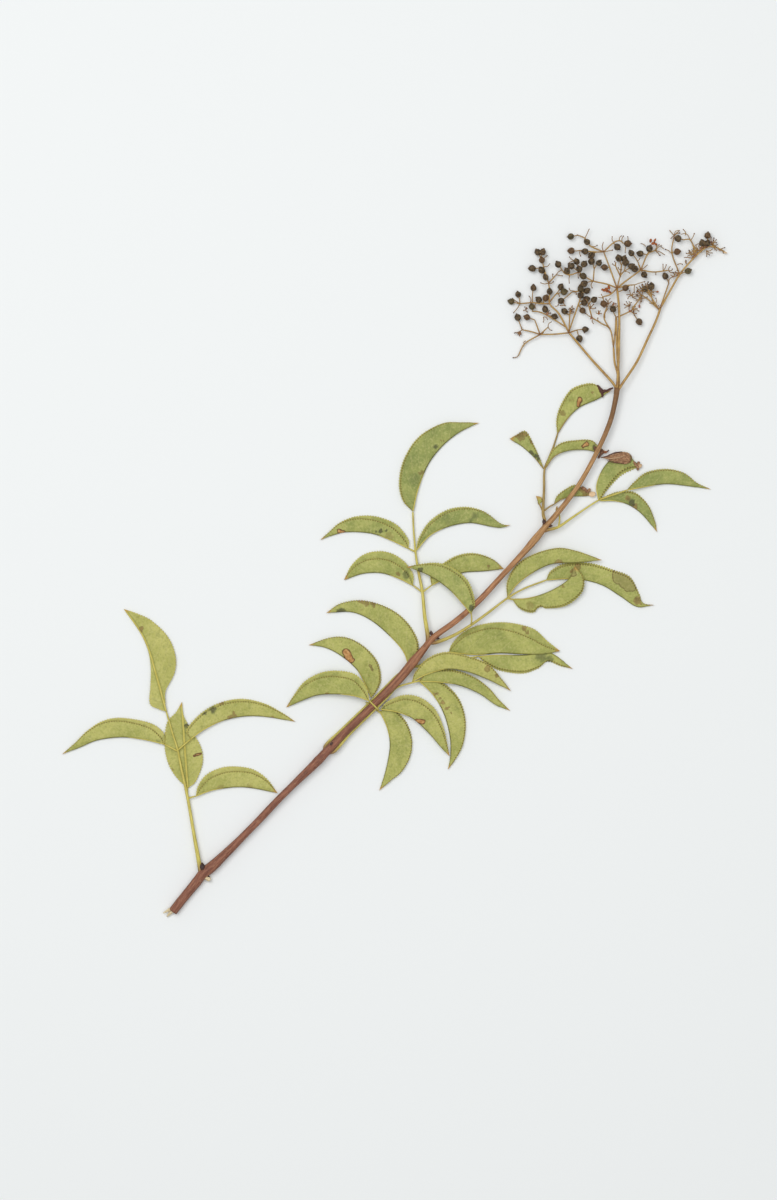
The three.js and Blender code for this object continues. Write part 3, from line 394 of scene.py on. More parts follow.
# %% The head's finishes
def fruit_stalk_paint():
    paint = Paint("fruit_stalk")
    thick, rust = paint.read("thick", "rust")
    streak, patch = ribbed(paint, 5.0), paint.noise(2.5, 3.0, 0.6)
    colour = paint.over(
        paint.mix(streak.ramp(0.32, 0.68), (148, 110, 50), (208, 172, 100)),
        (thick.ramp(0.3, 0.2) * 0.45, (140, 108, 68)),
        (patch.ramp(0.52, 0.7) * 0.55, (122, 78, 44)),
        (rust, (120, 68, 40)),
        # painted shade along the branches' two sides, where their rounding turns from the light
        (shaded_flanks(paint) * 0.65, (112, 78, 38)))
    return paint.finish(colour, 0.5, paint.bump(streak * 0.6 + patch * 0.5, 0.1), ior=1.45)


def berry_paint():
    paint = Paint("berry")
    tone, fold = paint.read("tone", "fold")
    crease = (paint.noise(1.1, 2.0, 0.5) - 0.5).math("ABSOLUTE").ramp(0.05, 0.005)
    skin = paint.noise(0.8, 4.0, 0.65)
    colour = paint.over(
        paint.mix(skin.ramp(0.35, 0.68), (42, 32, 20), (104, 85, 54)),
        (crease * skin.ramp(0.4, 0.65) * 0.6, (156, 126, 84)),
        (fold.ramp(0.5, 1.0) * 0.35, (126, 98, 68)),
        (tone.ramp(0.4, 1.0) * 0.45, (136, 94, 58)),
        (tone.ramp(-0.5, -1.0) * 0.35, (104, 98, 56)))
    return paint.finish(
        colour, 0.45 + 0.3 * skin, paint.bump(crease * 0.7 + skin, 0.16), ior=1.45)


def withered_paint():
    paint = Paint("withered")
    tone, rust = paint.read("tone", "rust")
    crumble = paint.noise(0.6, 3.0, 0.6)
    speckle = crumble.ramp(0.35, 0.7)
    colour = paint.over(
        paint.mix(speckle, (124, 84, 56), (184, 142, 104)),
        (tone.ramp(0.0, -0.9), (78, 44, 38)),
        (tone.ramp(0.2, 1.0), (226, 196, 156)),
        (rust.ramp(0.3, 1.0), paint.mix(speckle, (116, 56, 22), (190, 106, 44))))
    return paint.finish(colour, 0.7, paint.bump(crumble, 0.15))


FRUIT_STALK, BERRY, WITHERED = fruit_stalk_paint(), berry_paint(), withered_paint()
print("berry finish:", len(BERRY.node_tree.nodes), "nodes")

# %% [markdown]
# ## Growing a piece
# Several leaflets, or all the stalks of a spray, make one object. `Growth` is the mesh
# they are collected in: it starts a new flat grid for each, lets a rule move every point
# of that grid into place, stores the values that the finishes read, and closes seams and
# poles by merging points that meet. Modifiers could bend a sheet as well, but the finishes
# need to know where on a leaf each point is, and a rule knows that while it places it.

# %% Growing a piece
VALUES = ("along", "out", "rim", "notch", "tone", "tip", "bruise", "stain", "window", "patch",
          "around", "thick", "fold", "rust")
SEAM = 0.012  # points closer than this are one, mm
SLIVER = 0.002  # an edge shorter than this is removed, mm


def put(name, data):
    made = bpy.data.objects.new(name, data)
    bpy.context.scene.collection.objects.link(made)
    return made


class Growth:
    def __init__(self):
        self.bm = bmesh.new()
        self.layers = {name: self.bm.verts.layers.float.new(name) for name in VALUES}

    def place(self, made, rule):
        """`rule` turns a point's first position into its place and its values."""
        for vert in made["verts"]:
            vert.co, values = rule(vert.co.copy())
            for name, value in values.items():
                vert[self.layers[name]] = value

    def sheet(self, cells_long, cells_across, rule):
        made = bmesh.ops.create_grid(
            self.bm, x_segments=cells_long, y_segments=cells_across, size=1.0)
        self.place(made, rule)
        faces = [face for vert in made["verts"] for face in vert.link_faces]
        faces = list(dict.fromkeys(faces))  # each once, and in the same order every run
        bmesh.ops.remove_doubles(self.bm, verts=made["verts"], dist=SEAM)
        bmesh.ops.recalc_face_normals(self.bm, faces=[f for f in faces if f.is_valid])

    def ball(self, subdivisions, rule):
        made = bmesh.ops.create_icosphere(self.bm, subdivisions=subdivisions, radius=1.0)
        self.place(made, rule)

    def piece(self, name, paint, slot, node, thickness=0.0):
        bmesh.ops.dissolve_degenerate(self.bm, edges=self.bm.edges, dist=SLIVER)
        self.bm.transform(TABLE_TO_FRAME)
        mesh = bpy.data.meshes.new(name)
        self.bm.to_mesh(mesh)
        self.bm.free()
        mesh.polygons.foreach_set("use_smooth", [True] * len(mesh.polygons))
        mesh.materials.append(paint)
        made = put(name, mesh)
        if thickness:
            solidify = made.modifiers.new("thickness", "SOLIDIFY")
            solidify.thickness, solidify.offset = thickness * MM, 0.0
        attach(made, "root")
        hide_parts(node)
        print(f"{name}: {len(mesh.polygons)} faces")


# %% [markdown]
# ## A leaflet
# A leaflet is a grid stretched between its midrib and its margins. Most have folded shut
# like a book as they dried, and lie on one side: the lower half reaches out to the margin,
# and the upper half lies over it and stops a little short. The margin is saw toothed, its
# teeth leaning towards the tip, and each half is slightly wavy and swells a little between
# its side veins. An outline filled with one face could be quicker, but it could neither
# fold nor carry veins; the rows of a grid run with the midrib and stay in line with both.
# The cells are closest together at the fold and at the margin, where most happens.

# %% A leaflet's margin
TOOTH, TOOTH_PITCH = 0.62, 1.0  # a tooth's depth, and from one tooth to the next, mm
SLOW_SIDE = 0.72  # of a tooth's pitch, on the side that rises towards the tip


def saw(run, length):
    """How far the margin stands out, `run` mm along it: a slow rise, then a quick drop."""
    part = (run / TOOTH_PITCH) % 1.0
    lean = part / SLOW_SIDE if part < SLOW_SIDE else (1 - part) / (1 - SLOW_SIDE)
    ends = smooth_step(run, 1.0, 4.0) * smooth_step(length - run, 0.5, 3.0)
    return (lean - 0.5) * ends


# %% A leaflet's marks
FAR_OFF = 3.0  # the distance stored where no marked area is near, mm
ROUNDING = 0.8  # of an area's half breadth, that its corners are rounded by
RAGGED = (0.7, 0.4)  # how far the outlines of marks wander, and those of windows, mm


def strongest(spots, x, y):
    """The strength, 0 to 1, of the nearest soft spot at a place."""
    best = 0.0
    for at_x, at_y, radius, strength in spots:
        gone = math.hypot(x - at_x, y - at_y) / radius
        best = max(best, strength * smooth_step(1.6 - gone, 0.0, 1.0))
    return best


def outline_gap(areas, x, y):
    """Distance to the outline of the nearest rounded area, in mm: below 0 inside it."""
    nearest = FAR_OFF
    for at_x, at_y, long, wide, turn in areas:
        c, s = math.cos(math.radians(turn)), math.sin(math.radians(turn))
        dx, dy = x - at_x, y - at_y
        corner = ROUNDING * wide
        over_x = abs(dx * c + dy * s) - long + corner
        over_y = abs(dy * c - dx * s) - wide + corner
        outside = math.hypot(max(over_x, 0.0), max(over_y, 0.0))
        nearest = min(nearest, outside + min(max(over_x, over_y), 0.0) - corner)
    return nearest


def marks(shape, x, y, side):
    """The marks of a leaflet at a place, moved a little to make their outlines ragged."""
    warp = noise.noise_vector(Vector((x, y, 7 * side)) * 0.8)
    warp += noise.noise_vector(Vector((x, y, 3 + side)) * 2.5) * 0.5
    spot, window_spot = [(x + far * warp.x, y + far * warp.y) for far in RAGGED]
    return {"bruise": strongest(shape["spots"], *spot),
            "stain": strongest(shape["stains"], *spot),
            "window": outline_gap(shape["windows"], *window_spot),
            "patch": outline_gap(shape["patches"], *spot)}


# %% A leaflet's height
LAYER = 0.55  # height of a folded leaflet's middle over its underside, mm
STAND_OFF = (0.26, 0.2)  # of each half from that middle, near the fold, and more further out, mm
OPEN_RISE = 0.2  # how far an open leaflet's midrib stands over its blade, mm
WAVES, SWELL = 0.2, 0.05  # height of a blade's waves, and between its side veins, mm


def blade_height(folded, side, share, reach, breadth):
    """Over the leaflet's lift, in mm, at a share of the way out."""
    turn = smooth_step(reach, 0.0, 1.1) * smooth_step(breadth, 0.3, 2.5)
    if folded:
        return side * (STAND_OFF[0] * turn + STAND_OFF[1] * share * turn)
    return -0.1 + OPEN_RISE * (1 - turn)


def flutter(spot, wave, run, reach, breadth):
    """The slow waves of a blade, and the swelling between its side veins, in mm."""
    inland = smooth_step(reach, 0.3, 2.5) * smooth_step(breadth, 1.0, 4.0)
    vein = (run - VEIN_LEAN * reach - VEIN_BEND * reach**2) / VEIN_PITCH
    slow = noise.noise(Vector((spot[0] / 6, spot[1] / 6, wave)))
    return WAVES * inland * slow + SWELL * inland * math.cos(2 * math.pi * vein)


# %% A leaflet
CELL, HALF_CELLS = 0.22, 10  # a cell's length, mm, and the cells from a midrib to a margin
SHEET = 0.2  # thickness of a leaf, mm
LOWEST = 0.1  # lowest middle of a blade, mm
DRY_TIP = 3.2  # how far back from its tip a leaflet is dry, mm


def leaflet(growth, shape, rng, teeth=TOOTH, ridges=0.0):
    """`ridges` is the height of the pleats of a leaflet that has shrivelled, mm."""
    base, tip, folded = shape["rib"][0], shape["rib"][-1], shape["back"] is None
    length = line_length(shape["rib"])
    cells = max(10, round(length / CELL))
    rib = smooth_line(shape["rib"], cells + 1)
    edges = {1: [base, *shape["edge"], tip], -1: [base, *(shape["back"] or shape["edge"]), tip]}
    margins = {side: smooth_line(edge, cells + 1) for side, edge in edges.items()}
    margin_length = line_length(edges[1])
    tone, wave = shape["tone"] + rng.uniform(-0.12, 0.12), rng.uniform(0, 100)
    saw_shift = rng.uniform(0, TOOTH_PITCH)

    def rule(co):
        step, side = round((co.x + 1) / 2 * cells), 1 if co.y >= 0 else -1
        t, run = step / cells, step / cells * length
        # the share of the way out grows slowly at both ends, so the cells are closest there
        share = 0.4 * abs(co.y) + 0.6 * (0.5 - 0.5 * math.cos(math.pi * abs(co.y)))
        across = margins[side][step] - rib[step]
        breadth = float(np.linalg.norm(across))
        unit = across / breadth if breadth > 0.05 else np.zeros(3)
        if folded and side > 0:
            breadth *= along_list(shape["fold"], t)
        reach = breadth * share
        # share**6 keeps the teeth near the margin, and each side's teeth have their own start
        tooth = saw(t * margin_length + saw_shift * (side + 2), margin_length)
        x, y, _ = (rib[step] + unit * (reach + teeth * tooth * share**6)).tolist()
        height = along_list(shape["lift"], t) + LAYER
        height += blade_height(folded, side, share, reach, breadth)
        height += flutter((x, y), wave + side * 3, run, reach, breadth)
        height += ridges * math.cos(12 * share + 0.6 * math.sin(3 * t)) * smooth_step(t, 0, 0.3)
        # painted light: the lower half of a folded leaflet gets a yellower tone, as if the pale
        # sheet beneath showed through where it lies single
        values = {
            "along": run, "out": side * reach, "rim": breadth - reach, "notch": 0.5 - tooth,
            "tone": tone + 0.25 * (folded and side < 0), "fold": float(folded),
            "tip": smooth_step(run, length - DRY_TIP, length), **marks(shape, x, y, side)}
        return Vector((x, y, max(height, LOWEST))), values

    growth.sheet(cells, 2 * HALF_CELLS, rule)


# %% [markdown]
# ## Stalks
# A stalk is a grid rolled into a tube round its path: across the grid goes once round,
# and along it follows the path. The ends are drawn in to a point, which closes them. A
# curve with a bevel makes a tube too, but it can't carry the values that ribs and streaks
# are drawn from. A stalk that leaves the stem begins inside it, so that the two read as
# one growth.


# %% Stalks
CLOSED, ROUNDED = 0.02, 0.8  # of the radius, at an end's last ring and at the one before


def tube(growth, path, radii, sides=10, pitch=1.0, swell=None, blunt=False, squash=1.0,
         **stored):
    """`radii` are spread evenly along `path`; `swell(along, around)` changes the radius."""
    length = line_length(path)
    cells = max(3, round(length / pitch)) + 2
    line = smooth_line(path, cells - 1)
    line = np.vstack([line[:1], line, line[-1:]])
    tangents = np.gradient(line, axis=0)
    tangents[0], tangents[-1] = line[2] - line[1], line[-2] - line[-3]

    def rule(co):
        step = round((co.x + 1) / 2 * cells)
        t = min(max(step - 1, 0), cells - 2) / (cells - 2)
        radius = along_list(radii, t) * (swell(t * length, co.y) if swell else 1.0)
        if step in (0, cells):
            radius *= CLOSED
        elif step in (1, cells - 1) and not blunt:
            radius *= ROUNDED
        way, angle = Vector(tangents[step]).normalized(), co.y * math.pi
        across = Vector((-way.y, way.x, 0.0))
        across = across.normalized() if across.length > 1e-6 else Vector((1, 0, 0))
        spot = Vector(line[step]) + across * math.cos(angle) * radius
        spot += way.cross(across) * math.sin(angle) * radius * squash
        spot.z = max(spot.z, 0.0)
        values = {"along": t * length, "around": co.y, "thick": radius}
        for name, value in stored.items():
            values[name] = value(t * length, t) if callable(value) else value
        return spot, values

    growth.sheet(cells, sides, rule)


# %% Where the stem runs, as x, y, height of the axis and radius in mm
STEM = [(-83.3, -127.2, 1.7, 1.7), (-78.9, -121.5, 1.65, 1.7), (-74.3, -115.9, 1.7, 1.85),
    (-72, -113, 1.9, 2.05), (-69.2, -110.7, 1.95, 1.7), (-66.5, -108.3, 2.1, 1.4),
    (-58.8, -100.8, 2.4, 1.35), (-51.2, -93, 2.6, 1.35), (-43.7, -85.1, 2.8, 1.33),
    (-36, -77.5, 2.95, 1.33), (-28.5, -70.2, 3.1, 1.45), (-25.8, -67.3, 3.2, 1.7),
    (-23.2, -64.7, 3.3, 1.55), (-18.2, -59.4, 3.4, 1.35), (-5.2, -46.8, 3.7, 1.35),
    (2.4, -38.9, 4.1, 1.38), (7, -33.3, 4.4, 1.6), (11.6, -27.7, 4.5, 1.75),
    (13.8, -24.9, 4.5, 1.75), (16.9, -22.3, 4.4, 1.25), (22.5, -18.3, 4.1, 1.1),
    (27.9, -13.8, 3.7, 1.08), (33.2, -8.8, 3.6, 1.07), (40.5, -0.8, 3.7, 1.07),
    (48, 7.2, 3.8, 1.03), (52.8, 12.7, 3.9, 1.03), (55.1, 15.5, 4, 1.15), (57, 17.9, 4.1, 1.45),
    (59.7, 20.8, 4, 1.05), (64.6, 26.7, 3.8, 0.98), (69.1, 32.9, 3.7, 0.92),
    (72.6, 38.7, 3.7, 0.88), (76, 45.2, 3.7, 0.88), (79.1, 51.8, 3.8, 0.88), (81.7, 58.6, 3.9, 0.9),
    (83.3, 65.6, 4.1, 0.93), (83.9, 70, 4.2, 1.05)]
print(f"stem: {line_length(STEM):.0f} mm")

# %% Where a stalk joins the stem
STEM_LINE = smooth_line(STEM, 540)  # about every half millimetre
ROOT_BACK = 5  # how many of those points below its joint a stalk begins
FREE_END = 9  # how many of them, at the head, no leaf stalk is drawn to
HUG = 1.9  # a leaf stalk with a narrower gap to the stem than this lies against it, mm
SEAT = 0.7  # of such a stalk's radius, from its axis to the bark
SUNK = 0.15  # of the way from the stem's axis to the joint, where a stalk begins


def nearest_on_stem(x, y):
    gaps = np.hypot(STEM_LINE[:, 0] - x, STEM_LINE[:, 1] - y)
    return int(np.argmin(gaps)), gaps.min()


def into_stem(path, radius, hugs=True):
    """The path, begun inside the stem, and touching it for as long as it runs beside it."""
    moved = []
    for x, y, z in path:
        at, gap = nearest_on_stem(x, y)
        touching = STEM_LINE[at, 3] + SEAT * radius
        if hugs and at < len(STEM_LINE) - FREE_END and touching < gap < touching + HUG:
            middle = Vector(STEM_LINE[at, :2])
            x, y = middle + (Vector((x, y)) - middle) * (touching / gap)
        moved.append((x, y, z))
    at, _ = nearest_on_stem(*moved[0][:2])
    root = Vector(STEM_LINE[max(at - ROOT_BACK, 0), :3])
    return [tuple(root.lerp(Vector(moved[0]), SUNK)), *moved]


# %% [markdown]
# ## Withered bits
# Tips that dried first have shrivelled into strands and crumbs. A strand is a thin tube
# with an uneven radius. A crumb is a small cupped scrap of skin, crumpled by noise. They
# could be sculpted one by one, but at a millimetre or two noise looks as real.


# %% Withered bits
NARROW = (0.3, 0.35)  # how much a crumb narrows towards its corners, along and across
CUP, RISE, CRUMPLE = 0.35, 0.25, 0.3  # of its size: its hollow, and how far noise moves it
UNEVEN = 0.35  # of a strand's radius


def crumb(growth, x, y, z, long, wide, turn, tone, rust):
    spin, shift = Matrix.Rotation(math.radians(turn), 3, "Z"), Vector((x, y, z))

    def rule(co):
        crumple = noise.noise_vector(co * 1.7 + shift)
        spot = Vector((co.x * long * (1 - NARROW[0] * co.y**2),
                       co.y * wide * (1 - NARROW[1] * co.x**2),
                       CUP * wide * (co.y**2 - 0.5) + RISE * wide * crumple.z))
        spot += Vector((crumple.x * long, crumple.y * wide, 0)) * CRUMPLE
        return shift + spin @ spot, {"tone": tone, "rust": rust}

    growth.sheet(8, 6, rule)


def strand(growth, tone, rust, radii, path):
    def uneven(along, around):
        spot = Vector((along * 1.1, math.cos(around * math.pi), path[0][0]))
        return 1 + UNEVEN * noise.noise(spot)

    tube(growth, path, radii, sides=8, pitch=0.35, swell=uneven, squash=0.7, tone=tone, rust=rust)


# %% [markdown]
# ## Where the leaves grow
# Leaves could be scattered by chance, but on this cutting each lies as it was pressed. The
# tables hold plain positions in tenths of a millimetre, seen from above, so that they stay
# short; `xy` and `xyz` turn them into points in millimetres. A leaflet is two lines:
# its midrib and the margin it is folded towards, with a second margin, `back`, where it
# lies open. `lift` is the height of its underside along it, and `fold` how much of the
# breadth the upper half covers. A leaf adds its own stalk, or rachis, the stalks of its
# leaflets and their two radii.


# %% How the tables are read
def xyz(*tenths):
    mm = [value / 10 for value in tenths]
    return list(zip(mm[::3], mm[1::3], mm[2::3]))


def xy(*tenths):
    mm = [value / 10 for value in tenths]
    return [(x, y, 0.0) for x, y in zip(mm[::2], mm[1::2])]


def in_mm(rows, lengths):
    """Rows whose first numbers, as many as `lengths`, are tenths of a millimetre."""
    return [(*[value / 10 for value in row[:lengths]], *row[lengths:]) for row in rows]


def blade(rib, edge, lift, tone, fold=None, back=None, spots=(), stains=(), windows=(),
          patches=()):
    """Marks are rows of x, y, radius and strength, or of x, y, half sizes and turn."""
    return {"rib": rib, "edge": edge, "lift": lift, "tone": tone, "fold": fold, "back": back,
            "spots": in_mm(spots, 3), "stains": in_mm(stains, 3),
            "windows": in_mm(windows, 4), "patches": in_mm(patches, 4)}


LEAVES, DRIED = {}, {}


def leaf(name, radii, rachis, stalks, blades):
    LEAVES[name] = {"radii": radii, "rachis": rachis, "stalks": stalks, "blades": blades}
    print(f"{name}: {len(blades)} leaflets on a stalk of {line_length(rachis):.0f} mm")


def dried(name, sheets, strands, crumbs):
    """Strands are rows of tone, rust, radii and path; crumbs, what `crumb` takes."""
    DRIED[name] = {"sheets": sheets, "strands": strands, "crumbs": in_mm(crumbs, 5)}
    print(f"{name}: {len(strands)} strands and {len(crumbs)} crumbs")


# %% Leaf 1, the lowest
leaf("leaf_1", radii=(0.75, 0.42), rachis=xyz(-734, -1103, 23, -754, -977, 19, -777, -845, 16,
    -800, -739, 15, -815, -664, 15, -837, -592, 14, -858, -519, 12), stalks=[
    xyz(-777, -845, 16, -747, -837, 14),
    xyz(-779, -834, 15, -779, -796, 5),
    xyz(-815, -668, 15, -865, -641, 14),
    xyz(-815, -664, 15, -766, -622, 16)], blades=[
    blade(rib=xy(-747, -837, -694, -817, -637, -807, -581, -803, -521, -809, -439, -826),
        edge=xy(-739, -800, -709, -758, -656, -732, -600, -726, -532, -737, -479, -773),
        lift=(1, 0.2, 0, 0.2), fold=(0.55, 0.72, 0.78, 0.82, 0.9), tone=0.55,
        spots=[(-653, -807, 19, 0.35), (-543, -803, 19, 0.35)]),
    blade(rib=xy(-777, -807, -785, -709, -792, -607, -800, -483), edge=xy(-815, -773, -849, -720,
        -865, -645, -856, -562, -822, -521), back=xy(-747, -781, -722, -713, -728, -653, -762, -592,
        -792, -536), lift=(0.2, 0, 0, 0), tone=0.55, spots=[(-834, -736, 8, 0.4)],
        stains=[(-781, -570, 9, 1), (-785, -600, 19, 0.3)], windows=[(-742, -681, 17, 3, 22)]),
    blade(rib=xy(-865, -641, -939, -624, -1026, -615, -1117, -626, -1184, -653, -1252, -680),
        edge=xy(-868, -600, -920, -562, -1026, -543, -1098, -554, -1158, -592, -1203, -637),
        lift=(1.1, 0.3, 0, 0), fold=(0.5, 0.75, 0.85, 0.9, 0.95, 1), tone=0.55,
        spots=[(-966, -619, 11, 0.2)], stains=[(-890, -633, 11, 0.45), (-864, -615, 11, 0.45)]),
    blade(rib=xy(-766, -622, -720, -588, -649, -554, -562, -536, -475, -539, -371, -557),
        edge=xy(-781, -585, -720, -519, -649, -483, -570, -471, -490, -488, -426, -521),
        lift=(1.2, 0.5, 0, 0.1), fold=(0.85, 0.9, 0.87, 0.88, 0.94), tone=0.55,
        spots=[(-653, -481, 11, 0.8), (-602, -531, 9, 0.75), (-617, -541, 8, 0.8),
        (-457, -537, 5, 0.9)], stains=[(-680, -512, 12, 0.75), (-715, -527, 6, 0.9),
        (-698, -521, 26, 0.3)]),
    blade(rib=xy(-858, -519, -879, -441, -902, -362, -922, -294, -954, -223, -1018, -132),
        edge=xy(-862, -479, -860, -438, -828, -373, -824, -309, -852, -238, -913, -177, -969, -149),
        back=xy(-886, -509, -920, -488, -918, -419, -917, -355, -928, -287, -962, -211),
        lift=(0.9, 0.3, 0, 0), tone=0.75, spots=[(-952, -207, 9, 0.75)])])

# %% Leaf 2, of the second pair
leaf("leaf_2", radii=(0.55, 0.42), rachis=xyz(-260, -641, 17, -211, -594, 11, -155, -539, 9,
    -106, -483, 9, -79, -458, 8, -34, -419, 8, 11, -381, 8, 57, -351, 8), stalks=[
    xyz(-106, -483, 9, -75, -505, 9, -47, -528, 9),
    xyz(57, -351, 8, 128, -336, 7, 211, -294, 8),
    xyz(57, -351, 8, 174, -341, 6, 317, -310, 8)], blades=[
    blade(rib=xy(-85, -466, -106, -420, -140, -360, -198, -309, -260, -277, -323, -268),
        edge=xy(-64, -438, -49, -396, -62, -332, -111, -275, -175, -241, -241, -240),
        lift=(0.4, 0.1, 0, 0.1), fold=(0.9, 0.97, 1, 1), tone=0.4, spots=[(-200, -255, 8, 0.35),
        (-106, -343, 19, 0.3), (-83, -362, 11, 0.35)], windows=[(-172, -309, 30, 13, -61)],
        patches=[(-87, -351, 13, 5, -50)]),
    blade(rib=xy(-53, -517, -26, -577, -15, -641, -23, -705, -38, -766, -56, -817),
        edge=xy(-11, -505, 41, -551, 66, -615, 62, -683, 30, -743, -15, -781), lift=(0.4, 0, 0, 0),
        fold=(0.92, 1, 1), tone=0.3),
    blade(rib=xy(57, -351, 36, -292, -15, -234, -87, -174, -162, -143, -256, -147),
        edge=xy(87, -309, 89, -249, 45, -177, -24, -127, -117, -100, -200, -111),
        lift=(0.4, 0, 0, 0.2), fold=(0.92, 0.97, 1, 1), tone=0.4, spots=[(-124, -100, 9, 0.8),
        (-79, -113, 8, 0.8), (-53, -181, 11, 0.3), (-106, -113, 15, 0.4)],
        stains=[(-205, -141, 13, 0.85), (-189, -138, 10, 0.7)]),
    blade(rib=xy(207, -294, 306, -304, 400, -298, 483, -302, 558, -302, 626, -290),
        edge=xy(219, -263, 264, -217, 336, -189, 426, -183, 524, -206, 581, -255),
        lift=(0.3, 0.1, 0.15, 0.6), fold=(0.72, 0.82, 0.84, 0.72, 0.55, 0.55), tone=0.1,
        spots=[(490, -204, 9, 0.8), (502, -223, 8, 0.5), (162, -287, 11, 0.3)],
        stains=[(573, -309, 15, 0.35)]),
    blade(rib=xy(317, -311, 400, -306, 494, -306, 554, -296, 600, -302, 675, -358),
        edge=xy(351, -338, 400, -364, 483, -375, 543, -356, 579, -330, 630, -347),
        lift=(0.3, 0, 0, 0), fold=(0.9, 0.9), tone=0.15, stains=[(554, -309, 23, 0.6),
        (585, -321, 15, 0.6)])])

# %% Leaf 3, across from it
leaf("leaf_3", radii=(0.6, 0.42), rachis=xyz(-215, -675, 27, -162, -613, 24, -104, -554, 23,
    -57, -511, 31, -15, -471, 30, 26, -438, 27, 68, -409, 28, 98, -402, 32), stalks=[
    xyz(-57, -511, 31, -62, -507, 46, -75, -494, 57, -92, -477, 57)], blades=[
    blade(rib=xy(-92, -477, -146, -459, -215, -452, -287, -456, -347, -477, -407, -504),
        edge=xy(-106, -422, -147, -377, -215, -364, -279, -373, -339, -407, -377, -456),
        lift=(5.2, 3.6, 1.2, 0.1), fold=(0.5, 0.72, 0.78, 0.82, 0.9), tone=0.2,
        spots=[(-252, -453, 8, 0.7)]),
    blade(rib=xy(-50, -509, 11, -519, 72, -545, 132, -600, 174, -649, 209, -687), edge=xy(-26, -481,
        34, -456, 96, -464, 153, -507, 185, -573, 200, -637), lift=(2.5, 2.3, 1.4, 2.2),
        fold=(0.6, 0.78, 0.8, 0.82, 0.9), tone=0.4, spots=[(98, -554, 19, 0.25)],
        stains=[(-41, -505, 9, 0.5)], windows=[(98, -555, 20, 8, -8)]),
    blade(rib=xy(68, -404, 127, -376, 196, -358, 266, -365, 351, -396, 441, -441), edge=xy(81, -368,
        124, -319, 189, -294, 268, -306, 353, -339, 407, -398), lift=(2.3, 4.3, 2.9, 0.6),
        fold=(0.9, 0.95, 0.97), tone=0.65, spots=[(351, -355, 11, 0.6), (385, -381, 9, 0.5)]),
    blade(rib=xy(96, -404, 174, -407, 249, -420, 324, -452, 385, -494, 439, -516),
        edge=xy(128, -366, 211, -360, 294, -385, 355, -428, 396, -475), lift=(2.3, 2.2, 1.2, 0.1),
        fold=(0.85, 0.97, 1), tone=0.1),
    blade(rib=xy(89, -398, 143, -449, 185, -519, 209, -600, 214, -675, 203, -738),
        edge=xy(136, -392, 200, -421, 249, -478, 270, -558, 260, -641, 230, -700),
        lift=(2, 0.1, 0, 0), fold=(0.88, 0.97, 1), tone=0.4, spots=[(158, -453, 6, 0.9),
        (174, -468, 5, 0.7), (185, -487, 8, 0.8), (200, -505, 8, 0.8), (219, -521, 6, 0.5)])])

# %% Leaf 4, of the third pair
leaf("leaf_4", radii=(0.75, 0.42), rachis=xyz(119, -223, 45, 115, -155, 32, 107, -69, 22,
    91, 15, 17, 81, 83, 15, 74, 166, 12, 71, 234, 11), stalks=[
    xyz(107, -69, 22, 72, -43, 17),
    xyz(107, -69, 22, 141, -43, 17),
    xyz(81, 83, 15, 55, 96, 13)], blades=[
    blade(rib=xy(72, -43, 19, -17, -49, 4, -120, 1, -189, -23), edge=xy(70, 4, 26, 58, -38, 85,
        -108, 76, -158, 36), lift=(1.3, 0.3, 0, 0), fold=(0.5, 0.64, 0.66, 0.68, 0.75), tone=-0.2,
        spots=[(15, 0, 10, 0.5)], stains=[(45, -4, 14, 0.6), (57, 19, 11, 0.4)]),
    blade(rib=xy(141, -43, 196, -15, 263, 6, 339, 11, 414, 20), edge=xy(140, 4, 192, 45, 245, 72,
        306, 78, 370, 57), lift=(1.3, 0.3, 0, 0.2), fold=(0.8, 0.9, 0.95, 1), tone=-0.3,
        spots=[(358, 26, 6, 0.9)]),
    blade(rib=xy(55, 96, -8, 126, -85, 153, -172, 159, -223, 149, -279, 128), edge=xy(53, 132,
        8, 187, -68, 217, -143, 217, -204, 194, -249, 155), lift=(0.9, 0.2, 0, 0),
        fold=(0.55, 0.72, 0.8, 0.92, 0.97), tone=-0.3, spots=[(-19, 143, 19, 0.35),
        (-198, 160, 15, 0.3)], stains=[(-49, 162, 7, 0.9), (-30, 166, 6, 0.8), (-66, 160, 6, 0.7)],
        windows=[(-198, 160, 16, 6, -14)]),
    blade(rib=xy(83, 88, 136, 146, 207, 179, 287, 193, 366, 179, 407, 175, 441, 185),
        edge=xy(94, 136, 132, 196, 196, 240, 269, 253, 339, 236, 396, 194, 419, 185),
        lift=(0.9, 0.2, 0, 0.3), fold=(0.62, 0.8, 0.88, 0.96, 1), tone=-0.7,
        stains=[(306, 219, 14, 0.5), (289, 202, 11, 0.5), (195, 212, 15, 0.4),
        (204, 192, 11, 0.4)]),
    blade(rib=xy(71, 235, 91, 321, 130, 415, 185, 485, 249, 536, 321, 570), edge=xy(32, 279,
        19, 347, 38, 434, 94, 517, 182, 567, 256, 571), lift=(0.7, 0.1, 0, 0.1),
        fold=(0.92, 0.97, 1), tone=-0.65, spots=[(102, 381, 13, 0.4), (180, 503, 5, 0.95)],
        stains=[(79, 355, 26, 0.4), (158, 479, 8, 0.7), (60, 422, 30, 0.3)])])

